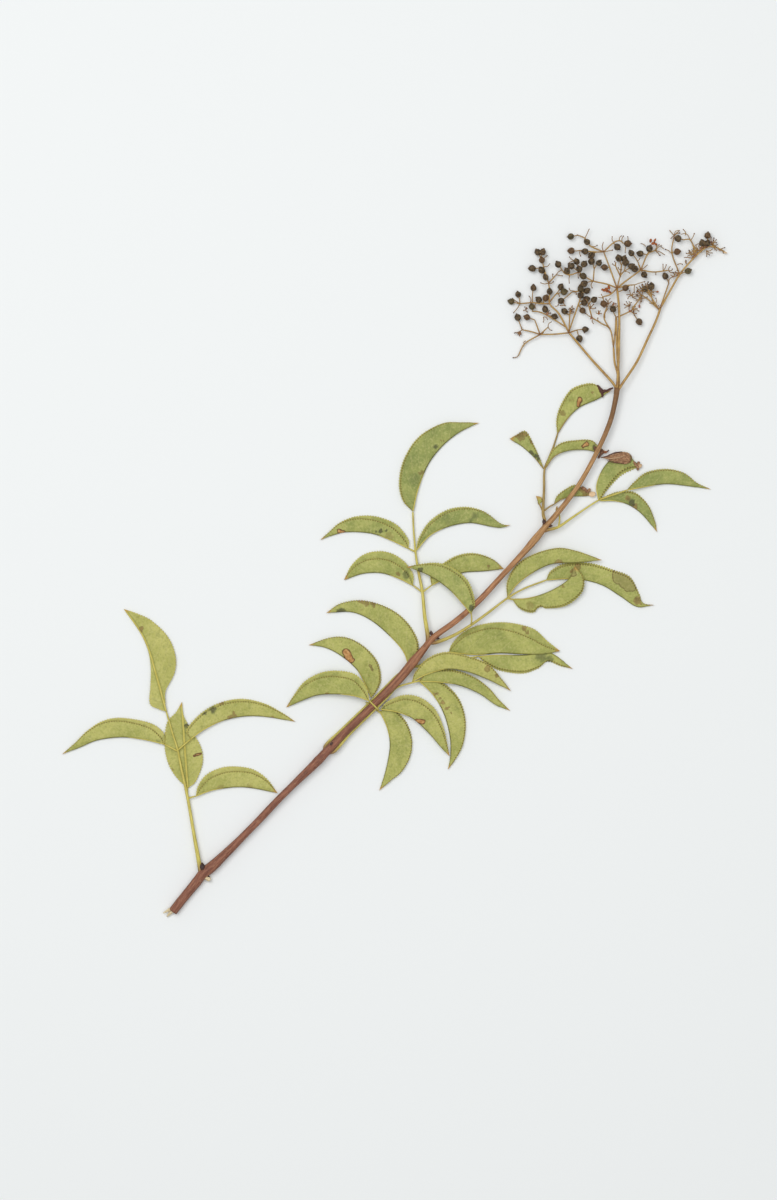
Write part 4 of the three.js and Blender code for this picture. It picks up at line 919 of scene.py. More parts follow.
# %% Leaf 5, across from it
leaf("leaf_5", radii=(0.65, 0.4), rachis=xyz(164, -262, 41, 219, -234, 34, 290, -192, 30,
    358, -143, 24, 426, -92, 19, 490, -55, 15, 573, -23, 12), stalks=[
    xyz(290, -192, 30, 292, -175, 47, 290, -147, 56),
    xyz(426, -92, 19, 449, -96, 17)], blades=[
    blade(rib=xy(290, -151, 256, -109, 206, -57, 147, -14, 94, 11, 45, 26), edge=xy(304, -109,
        283, -34, 234, 15, 170, 41, 102, 38), lift=(5.1, 5, 3.1, 2.9), fold=(0.8, 0.86, 0.85, 0.9),
        tone=-0.4, stains=[(289, -128, 11, 0.8), (100, 15, 8, 0.9)]),
    blade(rib=xy(426, -89, 464, -38, 524, 6, 596, 38, 687, 43, 784, 52), edge=xy(426, -30, 460, 32,
        524, 73, 615, 97, 690, 85), lift=(1.5, 1.6, 2.2, 1.9), fold=(0.9, 1, 1), tone=0.2,
        spots=[(622, 40, 15, 0.7)]),
    blade(rib=xy(445, -95, 502, -92, 570, -72, 630, -41, 664, -11, 679, 30), edge=xy(471, -128,
        505, -144, 529, -144, 541, -130, 558, -124, 577, -130, 649, -119, 709, -68, 713, -11),
        lift=(1.3, 0.4, 2, 2.3), fold=(0.9, 0.95), tone=0.3, spots=[(513, -121, 23, 0.35),
        (636, -47, 6, 1)], patches=[(670, 8, 14, 21, 10)]),
    blade(rib=xy(573, -23, 649, -18, 724, -24, 792, -45, 856, -85, 917, -123, 981, -117),
        edge=xy(592, 13, 649, 40, 739, 41, 822, 17, 890, -11, 924, -72, 939, -109),
        lift=(0.8, 0, 0, 0.1), fold=(0.85, 0.9, 0.92, 0.9), tone=-0.1, spots=[(915, -99, 11, 0.95),
        (928, -106, 6, 0.8), (694, 30, 11, 0.7), (669, 11, 6, 0.9), (668, -11, 6, 0.85)],
        patches=[(870, -20, 51, 31, -42)])])

# %% Leaf 6, of the fourth pair
leaf("leaf_6", radii=(0.6, 0.38), rachis=xyz(556, 209, 37, 561, 234, 30, 565, 317, 20, 567, 392, 14,
    585, 441, 5, 602, 483, 5, 619, 536, 7), stalks=[
    xyz(561, 234, 30, 545, 268, 22),
    xyz(561, 234, 30, 585, 253, 16, 605, 264, 9)], blades=[
    blade(rib=xy(545, 262, 539, 279, 534, 294), edge=xy(558, 273, 554, 289), lift=(1.9, 1.8, 1.9),
        fold=(1, 1), tone=-0.35),
    blade(rib=xy(602, 262, 630, 281, 675, 292, 717, 294, 754, 296), edge=xy(615, 294, 649, 321,
        687, 336, 728, 311), lift=(0.4, 0.1, 0.1, 0.3), fold=(0.95, 1), tone=-0.35,
        spots=[(713, 324, 15, 0.8), (732, 309, 19, 1)], stains=[(675, 317, 11, 0.5)]),
    blade(rib=xy(566, 394, 530, 438, 483, 481, 436, 509), edge=xy(554, 426, 532, 477, 498, 538,
        460, 524), lift=(0.8, 0.1, 0, 0.5), fold=(0.9, 0.8), tone=-0.5, spots=[(475, 524, 19, 0.75),
        (498, 528, 11, 0.6), (524, 502, 8, 0.8)], stains=[(519, 458, 9, 0.95), (534, 443, 9, 0.95),
        (545, 431, 8, 0.9)]),
    blade(rib=xy(570, 398, 604, 443, 659, 465, 723, 468, 766, 460, 800, 460), edge=xy(588, 453,
        626, 492, 687, 504, 743, 504, 769, 483), lift=(1.1, 1.3, 0.3, 0.2), fold=(0.9, 1),
        tone=-0.15, spots=[(645, 445, 11, 0.4)], stains=[(754, 477, 9, 0.9)],
        windows=[(720, 486, 15, 6, 32)]),
    blade(rib=xy(615, 528, 653, 584, 702, 630, 766, 659, 820, 692), edge=xy(613, 585, 629, 637,
        668, 696, 732, 719, 771, 709, 788, 688), lift=(0.3, 0.1, 0.1, 0.5), fold=(0.9, 0.95),
        tone=0, spots=[(635, 606, 15, 0.4), (668, 656, 11, 0.35), (748, 681, 6, 0.7)],
        windows=[(698, 649, 19, 8, 72)])])

# %% Leaf 7, across from it
leaf("leaf_7", radii=(0.6, 0.4), rachis=xyz(588, 164, 39, 619, 177, 32, 669, 211, 24, 734, 255, 16,
    772, 279, 12), stalks=[
    xyz(619, 177, 32, 624, 207, 16, 622, 230, 8),
    xyz(772, 279, 12, 792, 287, 22, 826, 298, 28, 877, 316, 28)], blades=[
    blade(rib=xy(622, 223, 620, 238, 615, 258), edge=xy(611, 234, 610, 247), lift=(0.4, 0.2, 0.2),
        fold=(1, 1), tone=-0.5),
    blade(rib=xy(772, 275, 764, 332, 785, 392, 822, 434, 875, 458, 905, 426, 932, 407),
        edge=xy(807, 321, 852, 368, 890, 390), lift=(0.7, 0.1, 0, 0.3), fold=(0.92, 0.8), tone=-0.5,
        spots=[(852, 392, 15, 0.3)], stains=[(898, 434, 11, 0.4)]),
    blade(rib=xy(875, 315, 947, 329, 1025, 340, 1101, 333, 1196, 319), edge=xy(905, 347, 951, 383,
        1026, 396, 1094, 381, 1143, 343), lift=(2.2, 0.6, 0, 0), fold=(0.9, 1), tone=-0.55),
    blade(rib=xy(777, 276, 830, 276, 883, 262, 935, 226, 992, 158), edge=xy(800, 294, 849, 311,
        909, 307, 958, 260, 983, 200), lift=(0.7, 0, 0, 0), fold=(0.88, 1), tone=-0.6,
        spots=[(883, 287, 8, 0.8), (905, 249, 13, 0.9)], stains=[(894, 272, 11, 0.9),
        (902, 260, 8, 0.8)])])

# %% What has withered on leaf 6
dried("leaf_6", sheets=[], strands=[
    (-0.8, 0.35, (0.3, 0.5, 0.75, 0.6, 0.35), xyz(766, 712, 14, 775, 700, 13, 782, 689, 12,
        785, 677, 11, 785, 666, 10)),
    (-0.8, 0.35, (0.75, 0.5, 0.38, 0.3), xyz(785, 688, 13, 798, 690, 18, 811, 695, 24,
        825, 701, 30)),
    (-0.5, 0.2, (0.5, 0.6, 0.45), xyz(757, 480, 15, 761, 468, 14, 757, 456, 13)),
    (-0.5, 0.2, (0.6, 0.75, 0.5, 0.3), xyz(784, 470, 12, 782, 456, 11, 775, 445, 10, 769, 436, 9)),
    (0, 0.8, (0.35, 0.5, 0.3), xyz(788, 460, 10, 797, 459, 10, 805, 462, 9)),
    (-0.7, 0.2, (0.3, 0.22), xyz(805, 462, 9, 810, 468, 9)),
    (-0.1, 0.3, (0.6, 0.7, 0.45), xyz(707, 327, 16, 720, 318, 15, 732, 307, 14))], crumbs=[
    (747, 301, 12, 13, 10, 10, 0.9, 0.1), (734, 315, 15, 9, 6, 50, 0.3, 0.3)])

# %% What has withered on leaf 7
dried("leaf_7", sheets=[
    blade(rib=xy(780, 438, 807, 432, 837, 421, 868, 415, 889, 420), edge=xy(792, 443, 819, 449,
        843, 458, 869, 460, 889, 451), lift=(1.5, 1.5, 1.3, 1.2), fold=(0.8, 0.9), tone=0.1,
        spots=[(788, 438, 15, 1), (815, 438, 19, 1), (841, 438, 23, 1), (868, 439, 19, 0.9)],
        stains=[(786, 438, 8, 0.9)])], strands=[
    (0.55, 0.05, (0.12, 0.22, 0.24, 0.12), xyz(792, 436, 23, 822, 435, 25, 852, 440, 26,
        875, 448, 23)),
    (0.4, 0.05, (0.1, 0.18, 0.18, 0.1), xyz(803, 442, 23, 830, 450, 25, 856, 456, 24)),
    (-0.7, 0.05, (0.18, 0.26, 0.22, 0.1), xyz(780, 438, 20, 803, 444, 23, 830, 456, 23,
        860, 461, 22)),
    (0.35, 0.05, (0.1, 0.2, 0.1), xyz(807, 429, 23, 837, 425, 24, 864, 428, 23)),
    (-0.6, 0.05, (0.1, 0.18, 0.1), xyz(803, 426, 20, 834, 419, 21, 864, 417, 20)),
    (-0.45, 0.1, (0.14, 0.2, 0.12), xyz(888, 422, 20, 895, 438, 22, 889, 451, 20)),
    (-0.1, 0.2, (0.25, 0.5, 0.55, 0.4), xyz(902, 424, 13, 911, 412, 13, 920, 401, 12,
        917, 391, 10))], crumbs=[
    (926, 407, 13, 9, 7, 20, 0.7, 0.35), (921, 418, 14, 7, 5, 60, 0.2, 0.3)])

# %% [markdown]
# ## The seven leaves
# A leaf becomes two objects, its blades and its stalks, and a withered tip adds two or
# three more, because they differ in finish or in thickness. The stalk grows out of the
# stem, is thickest and brownest at its foot, and each leaflet's midrib runs into it. Open
# leaflets show the midrib all the way. The blades start as sheets without thickness,
# because a modifier can give them an even one.

# %% A leaf's stalks
DRIED_STALK = 0.85  # of the tables' radii, which are those of the frame's thicker solids
BROWN_STALKS = {"leaf_6": 0.75, "leaf_5": 0.2}  # how brown a leaf's stalks have dried, 0 to 1
RIB_POINTS, RIB_SHOWN = 24, 9  # of a midrib, and how many of them a folded leaflet shows
OPEN_RIB = 0.62  # height of an open leaflet's midrib over the leaflet's lift, mm


def midrib(stalks, shape, thin, brown):
    lies_open = shape["back"] is not None
    shown, raised = (RIB_POINTS, OPEN_RIB) if lies_open else (RIB_SHOWN, LAYER)
    radii = (thin, 0.3, 0.24, 0.12) if lies_open else (thin * 0.75, 0.22, 0.1)
    path = [(x, y, along_list(shape["lift"], index / (RIB_POINTS - 1)) + raised)
            for index, (x, y, _) in enumerate(smooth_line(shape["rib"], RIB_POINTS)[:shown])]
    tube(stalks, path, radii, sides=8, pitch=0.8, tone=brown)


def leaf_stalks(stalks, name, parts):
    thick, thin = [DRIED_STALK * radius for radius in parts["radii"]]
    brown = BROWN_STALKS.get(name, 0.0)

    def foot_brown(along, t):
        return max(brown, 1.0 - smooth_step(along, 1.0, 7.0))

    radii = (thick * 1.4, thick, thick * 0.85, thin, thin * 0.9)
    tube(stalks, into_stem(parts["rachis"], thick), radii, pitch=0.7, squash=0.85,
         tone=foot_brown)
    for path in parts["stalks"]:
        tube(stalks, path, (thin, thin * 0.8), sides=8, tone=brown)
    for shape in parts["blades"]:
        midrib(stalks, shape, thin, brown)


# %% The seven leaves
CRUMB_SHEET = 0.15  # thickness of a crumb, mm
rng = random.Random(11)
for name, parts in LEAVES.items():
    blades, stalks = Growth(), Growth()
    for shape in parts["blades"]:
        leaflet(blades, shape, rng)
    leaf_stalks(stalks, name, parts)
    blades.piece(f"{name}_blades", LEAF, "leaf", name, thickness=SHEET)
    stalks.piece(f"{name}_stalks", LEAF_STALK, "leaf_stalk", name)

# %% Their dried tips
for name, parts in DRIED.items():
    folds, wisps, crumbs = Growth(), Growth(), Growth()
    for shape in parts["sheets"]:
        leaflet(folds, shape, rng, teeth=0.15, ridges=0.16)
    if parts["sheets"]:
        folds.piece(f"{name}_dried_tip", WITHERED, "leaf", name, thickness=SHEET)
    for row in parts["strands"]:
        strand(wisps, *row)
    wisps.piece(f"{name}_strands", WITHERED, "leaf", name)
    for row in parts["crumbs"]:
        crumb(crumbs, *row)
    crumbs.piece(f"{name}_crumbs", WITHERED, "leaf", name, thickness=CRUMB_SHEET)

# %% [markdown]
# ## The stem
# The stem swells where a pair of leaves leaves it, and a fine ridge runs round it there.
# It was cut off obliquely, and a splinter of pale wood was torn out with the cut. A leaf
# stalk was cut off near its foot, and small dark buds sit in the angles of the pairs. The
# stem could be modelled by hand, but it is one more tube, with many radii spread along it
# for its swellings. A bud is a ball narrowed to a tip.

# %% The stem
STEM_NODES = (14.0, 79.0, 131.0, 193.5)  # where the pairs of leaves leave it, mm along
STEM_AXIS = [row[:3] for row in STEM]
FURROW, NODE_RIDGE = 0.07, 0.06  # of the stem's radius
NODE_WIDTH = 0.7  # of a ridge, along the stem, mm


def stem_swell(along, around):
    turn = around * math.pi
    furrow = noise.noise(Vector((along / 9, math.cos(turn) * 1.3, math.sin(turn) * 1.3)))
    ridge = sum(NODE_RIDGE * math.exp(-((along - at) / NODE_WIDTH) ** 2) for at in STEM_NODES)
    return 1.0 + FURROW * furrow + ridge


stem = Growth()
stem_radii = [row[3] for row in STEM]
tube(stem, STEM_AXIS, stem_radii, sides=18, pitch=0.8, swell=stem_swell, blunt=True)
stem.piece("stem_bark", BARK, "bark", "stem")

# %% Cut wood
SPLINTERS = [(xyz(-829, -1262, 12, -856, -1292, 7), (1, 0.25)),
             (xyz(-842, -1262, 19, -870, -1278, 14), (0.75, 0.2))]  # a path and its radii
CUT_STALK = (xyz(-720, -1132, 19, -693, -1154, 16), (1.1, 0.8))
cuts = Growth()
for path, radii in SPLINTERS:
    tube(cuts, path, radii, sides=7, pitch=0.5)
tube(cuts, *CUT_STALK, sides=12, pitch=0.5)
cuts.piece("stem_cut_wood", CUT_WOOD, "bark", "stem")

# %% Buds
BUDS = in_mm([(-721, -1102, 28, 17, 96), (-701, -1138, 20, 9, -20), (-234, -638, 44, 9, 50),
              (140, -222, 46, 10, 100), (162, -241, 46, 10, -10), (564, 196, 43, 12, 100),
              (586, 182, 42, 11, -10)], 4)  # x, y, z, half length, turn
BUD_GIRTH = (0.62, 0.6)  # half breadth and half height, of the half length
BUD_POINT = 0.45  # how much narrower a bud is at its tip


def bud(growth, x, y, z, size, turn):
    spin, foot = Matrix.Rotation(math.radians(turn), 3, "Z"), Vector((x, y, z))

    def rule(co):
        pointed = 1 - BUD_POINT * smooth_step(co.x, 0.0, 1.0)
        spot = Vector((co.x * size, co.y * size * BUD_GIRTH[0] * pointed,
                       co.z * size * BUD_GIRTH[1] * pointed))
        return foot + spin @ spot, {}

    growth.ball(3, rule)


buds = Growth()
for row in BUDS:
    bud(buds, *row)
buds.piece("stem_buds", BUD, "bark", "stem")

# %% [markdown]
# ## A berry
# A berry is a ball whose skin is pulled in between ridges that run from its stalk to its
# crown, and which is drawn out to a point at the crown: a short ring of dried lobes. Noise
# makes its dents, but noise alone would give a pebble, so a wave round the ball adds the
# ridges. There are 70 berries, so the ball they start from has only a few hundred faces.

# %% A berry
BERRY_SIZE = (1.28, 1.22, 1.15)  # half length, half breadth, half height, mm
RIDGE, DENT, POINT = 0.06, 0.15, 0.12  # of its size: ridges, dents and the drawn-out end
CROWN = (0.16, 0.2, 0.32)  # a crown's half length, and its radii at the berry and the rim, mm


def shrivelled(growth, centre, spin, size, ridges, phase, shift, tone):
    def skin(co):
        girth = math.sqrt(max(0.0, 1 - co.x**2))
        ridge = math.cos(ridges * math.atan2(co.z, co.y) + phase + co.x * 1.2) * girth
        dent = noise.noise(co * 1.7 + Vector((shift, 0, 0)))
        out = size * (1 + RIDGE * ridge + DENT * dent)
        drawn = 1 + POINT * smooth_step(co.x, 0.8, 1.0)
        spot = Vector((co.x * BERRY_SIZE[0] * drawn, co.y * BERRY_SIZE[1], co.z * BERRY_SIZE[2]))
        spot = centre + spin @ (spot * out)
        spot.z = max(spot.z, 0.02)
        return spot, {"tone": tone, "fold": 0.5 + 0.5 * ridge}

    growth.ball(3, skin)


def berry(skins, crowns, centre, way, rng):
    tone, shift = rng.uniform(-1, 1), rng.uniform(0, 50)
    size = rng.uniform(0.92, 1.06)
    ridges, phase = rng.choice((3, 4, 5)), rng.uniform(0, 6)
    spin = Matrix.Rotation(way, 3, "Z") @ Matrix.Rotation(rng.uniform(-0.3, 0.3), 3, "Y")
    shrivelled(skins, centre, spin, size, ridges, phase, shift, tone)
    tip = centre + spin @ Vector((BERRY_SIZE[0] * size * 1.1, 0, 0))

    def crown(co):
        half, foot, rim = CROWN
        flare = rim if co.z > 0 else foot
        return tip + spin @ Vector((co.z * half, co.x * flare, co.y * flare)), {"tone": -0.5}

    crowns.place(bmesh.ops.create_cone(
        crowns.bm, cap_ends=True, segments=5, radius1=1.0, radius2=1.0, depth=2.0), crown)


def knob(growth, spot, size, rng, **stored):
    shift = Vector((rng.uniform(0, 50), 0, 0))

    def rule(co):
        return spot + co * size * (1 + 0.5 * noise.noise(co * 1.5 + shift)), stored

    growth.ball(1, rule)


# %% [markdown]
# ## The head of berries
# The branches are tubes along their paths, a little swollen and redder at each fork. From
# the points in the tables the berries' stalks fan out, and a small repeatable scatter keeps
# the fans from looking drawn with a ruler. Bare stalks end in a dark knob where a berry
# fell, and are thinner. A particle system could scatter berries, but each has to sit at
# the end of its own stalk.

# %% A fan of stalks
PEDICEL, BARE = 0.19, 0.8  # radius of a berry's own stalk, mm, and a bare one's share of it
LOW_BERRY, LOW_BARE = 1.2, 0.4  # lowest height of a stalk's end, mm
SWING, STRETCH, BEND = 4, 0.08, 0.25  # scatter: degrees, of the length, and mm at the middle
BARE_STRETCH, BARE_BEND = 2.5, 2.2  # how much more bare stalks scatter


def fan(stalks, skins, ends, rng, x, y, z, aim, reach, berries=1, bare=0, spread=0):
    """`aim` and `spread` in degrees; the other measures in tenths of a millimetre."""
    start, count = Vector((x / 10, y / 10, z / 10)), berries + bare
    for index in range(count):
        place, carries = index / (count - 1) - 0.5 if count > 1 else 0.0, index < berries
        stretch, bend = (1, 1) if carries else (BARE_STRETCH, BARE_BEND)
        angle = math.radians(aim + place * spread + rng.uniform(-SWING, SWING))
        way = Vector((math.cos(angle), math.sin(angle), 0))
        length = reach / 10 * (1 + rng.uniform(-STRETCH, STRETCH) * stretch)
        end = start + way * length
        end.z = max(z / 10 + rng.uniform(-0.3, 0.3), LOW_BERRY if carries else LOW_BARE)
        aside = Vector((-way.y, way.x, 0.5)) * rng.uniform(-BEND, BEND) * bend
        middle = start.lerp(end, 0.5) + aside
        girth = PEDICEL * (1 if carries else BARE)
        tube(stalks, [tuple(start), tuple(middle), tuple(end)], (girth * 1.3, girth, girth * 1.2),
             sides=6, pitch=0.8, rust=0.35 * rng.random() * (not carries))
        if carries:
            berry(skins, ends, end, angle, rng)
        else:
            knob(ends, end, rng.uniform(0.2, 0.32), rng, tone=rng.uniform(-0.9, -0.2))


# %% [markdown]
# ## Where the head branches
# A rule could invent the forks, but this head has its own, so each branch is entered. The
# tables use the same tenths of a millimetre. A limb is a path and the radius at each
# end. A fan is a row: a point, an aim and a reach, and then, where it isn't one berry, how
# many berries, how many bare stalks, and their spread. Crumbs are dried flowers.


# %% How a spray's table is read
def limb(*tenths, radii=(0.38, 0.34)):
    return (*radii, xyz(*tenths))


SPRAYS = {}


def spray(name, limbs, fans, crumbs):
    SPRAYS[name] = {"limbs": limbs, "fans": fans, "crumbs": in_mm(crumbs, 5)}
    berries = sum(row[5] if len(row) > 5 else 1 for row in fans)
    print(f"{name}: {len(limbs)} limbs and {berries} berries")


# %% The left ray
spray("spray_left", limbs=[
    limb(825, 715, 42, 747, 803, 32, 659, 908, 26, radii=(0.62, 0.52)),
    limb(659, 908, 26, 604, 903, 22, 550, 902, 20, radii=(0.42, 0.38)),
    limb(550, 902, 20, 517, 913, 18, 483, 920, 16),
    limb(550, 902, 20, 493, 868, 12, 468, 822, 8),
    limb(550, 902, 20, 539, 932, 24, 530, 956, 26),
    limb(550, 902, 20, 580, 929, 26),
    limb(659, 908, 26, 621, 979, 28, 586, 1017, 28, 586, 1064, 26, 582, 1095, 25,
        radii=(0.48, 0.36)),
    limb(649, 928, 26, 577, 974, 20, 543, 988, 18, 521, 989, 16),
    limb(586, 1017, 28, 551, 1018, 22, 521, 1022, 20, 475, 1018, 16),
    limb(582, 1095, 25, 568, 1139, 21, 558, 1179, 19, 551, 1196, 18),
    limb(582, 1095, 25, 610, 1126, 15),
    limb(586, 1024, 27, 615, 1060, 20),
    limb(659, 908, 26, 662, 974, 18, 666, 1000, 14),
    limb(660, 917, 25, 689, 1000, 17, 705, 1049, 16, 713, 1083, 15, radii=(0.4, 0.34)),
    limb(710, 1067, 15.5, 671, 1063, 14),
    limb(659, 908, 26, 689, 919, 20)], fans=[
    (483, 920, 16, 110, 49), (483, 920, 16, 205, 26, 0, 1), (468, 822, 8, 200, 20, 0, 1),
    (530, 956, 26, 163, 30), (580, 929, 26, 60, 24, 0, 1), (586, 1045, 27, 88, 20),
    (577, 974, 20, 50, 25, 2, 0, 124), (521, 989, 16, 100, 18), (475, 1018, 16, 168, 36, 2, 1, 127),
    (521, 1022, 20, 89, 56), (562, 1018, 24, 103, 22, 2, 0, 67), (582, 1095, 25, 120, 23),
    (582, 1095, 25, 175, 36, 0, 1), (571, 1124, 22, 129, 23), (565, 1152, 20, 180, 43),
    (562, 1166, 20, 105, 17), (553, 1190, 18, 92, 24, 2, 0, 46), (610, 1126, 15, 40, 25, 0, 1),
    (611, 1054, 20, 40, 31, 2, 0, 42), (662, 974, 18, 142, 26), (663, 984, 16, 70, 24, 0, 1),
    (694, 1011, 16.5, -10, 24, 2, 0, 78), (700, 1026, 16, 52, 25, 2, 0, 57),
    (708, 1056, 15, 70, 21, 2, 0, 76), (671, 1063, 16, 219, 53), (689, 919, 20, -33, 31, 2, 0, 72),
    (473, 1020, 16, 145, 29, 0, 1), (514, 1023, 20, 98, 22, 0, 1), (580, 1095, 25, 15, 19, 0, 1),
    (564, 1158, 20, 23, 23, 0, 1), (564, 1189, 19, 35, 17, 0, 1), (610, 1128, 16, -12, 22, 0, 1),
    (600, 1118, 18, 100, 14, 0, 1), (665, 981, 15, 90, 15, 0, 4, 120),
    (668, 994, 14, 80, 12, 0, 3, 100), (607, 1008, 24, 25, 13, 0, 1),
    (577, 981, 20, 60, 15, 0, 3, 110), (562, 967, 23, -60, 16, 0, 2, 60),
    (550, 902, 20, 30, 16, 0, 1), (581, 930, 26, -42, 23, 0, 1), (490, 866, 12, 65, 15, 0, 1),
    (473, 909, 17, 250, 10, 0, 4, 120), (499, 998, 16, 210, 12, 0, 3, 160),
    (713, 924, 20, -75, 15, 0, 1), (647, 1010, 18, 150, 20, 0, 2, 60),
    (672, 1067, 15, 142, 18, 0, 1), (672, 1067, 15, -40, 18, 0, 1), (615, 1059, 20, -60, 16, 0, 1),
    (536, 1021, 20, -100, 18, 0, 1)], crumbs=[
    (691, 1276, 21, 3.5, 2.5, 0, 0.2, 0.5), (487, 860, 10, 4, 3, 30, 0.2, 0.6),
    (577, 980, 23, 7, 4, 60, -0.2, 0.5), (474, 908, 18, 8, 5, 75, -0.3, 0.4),
    (669, 990, 16, 5, 3.5, 80, -0.5, 0.4), (499, 1000, 18, 5, 3, 20, -0.5, 0.2)])

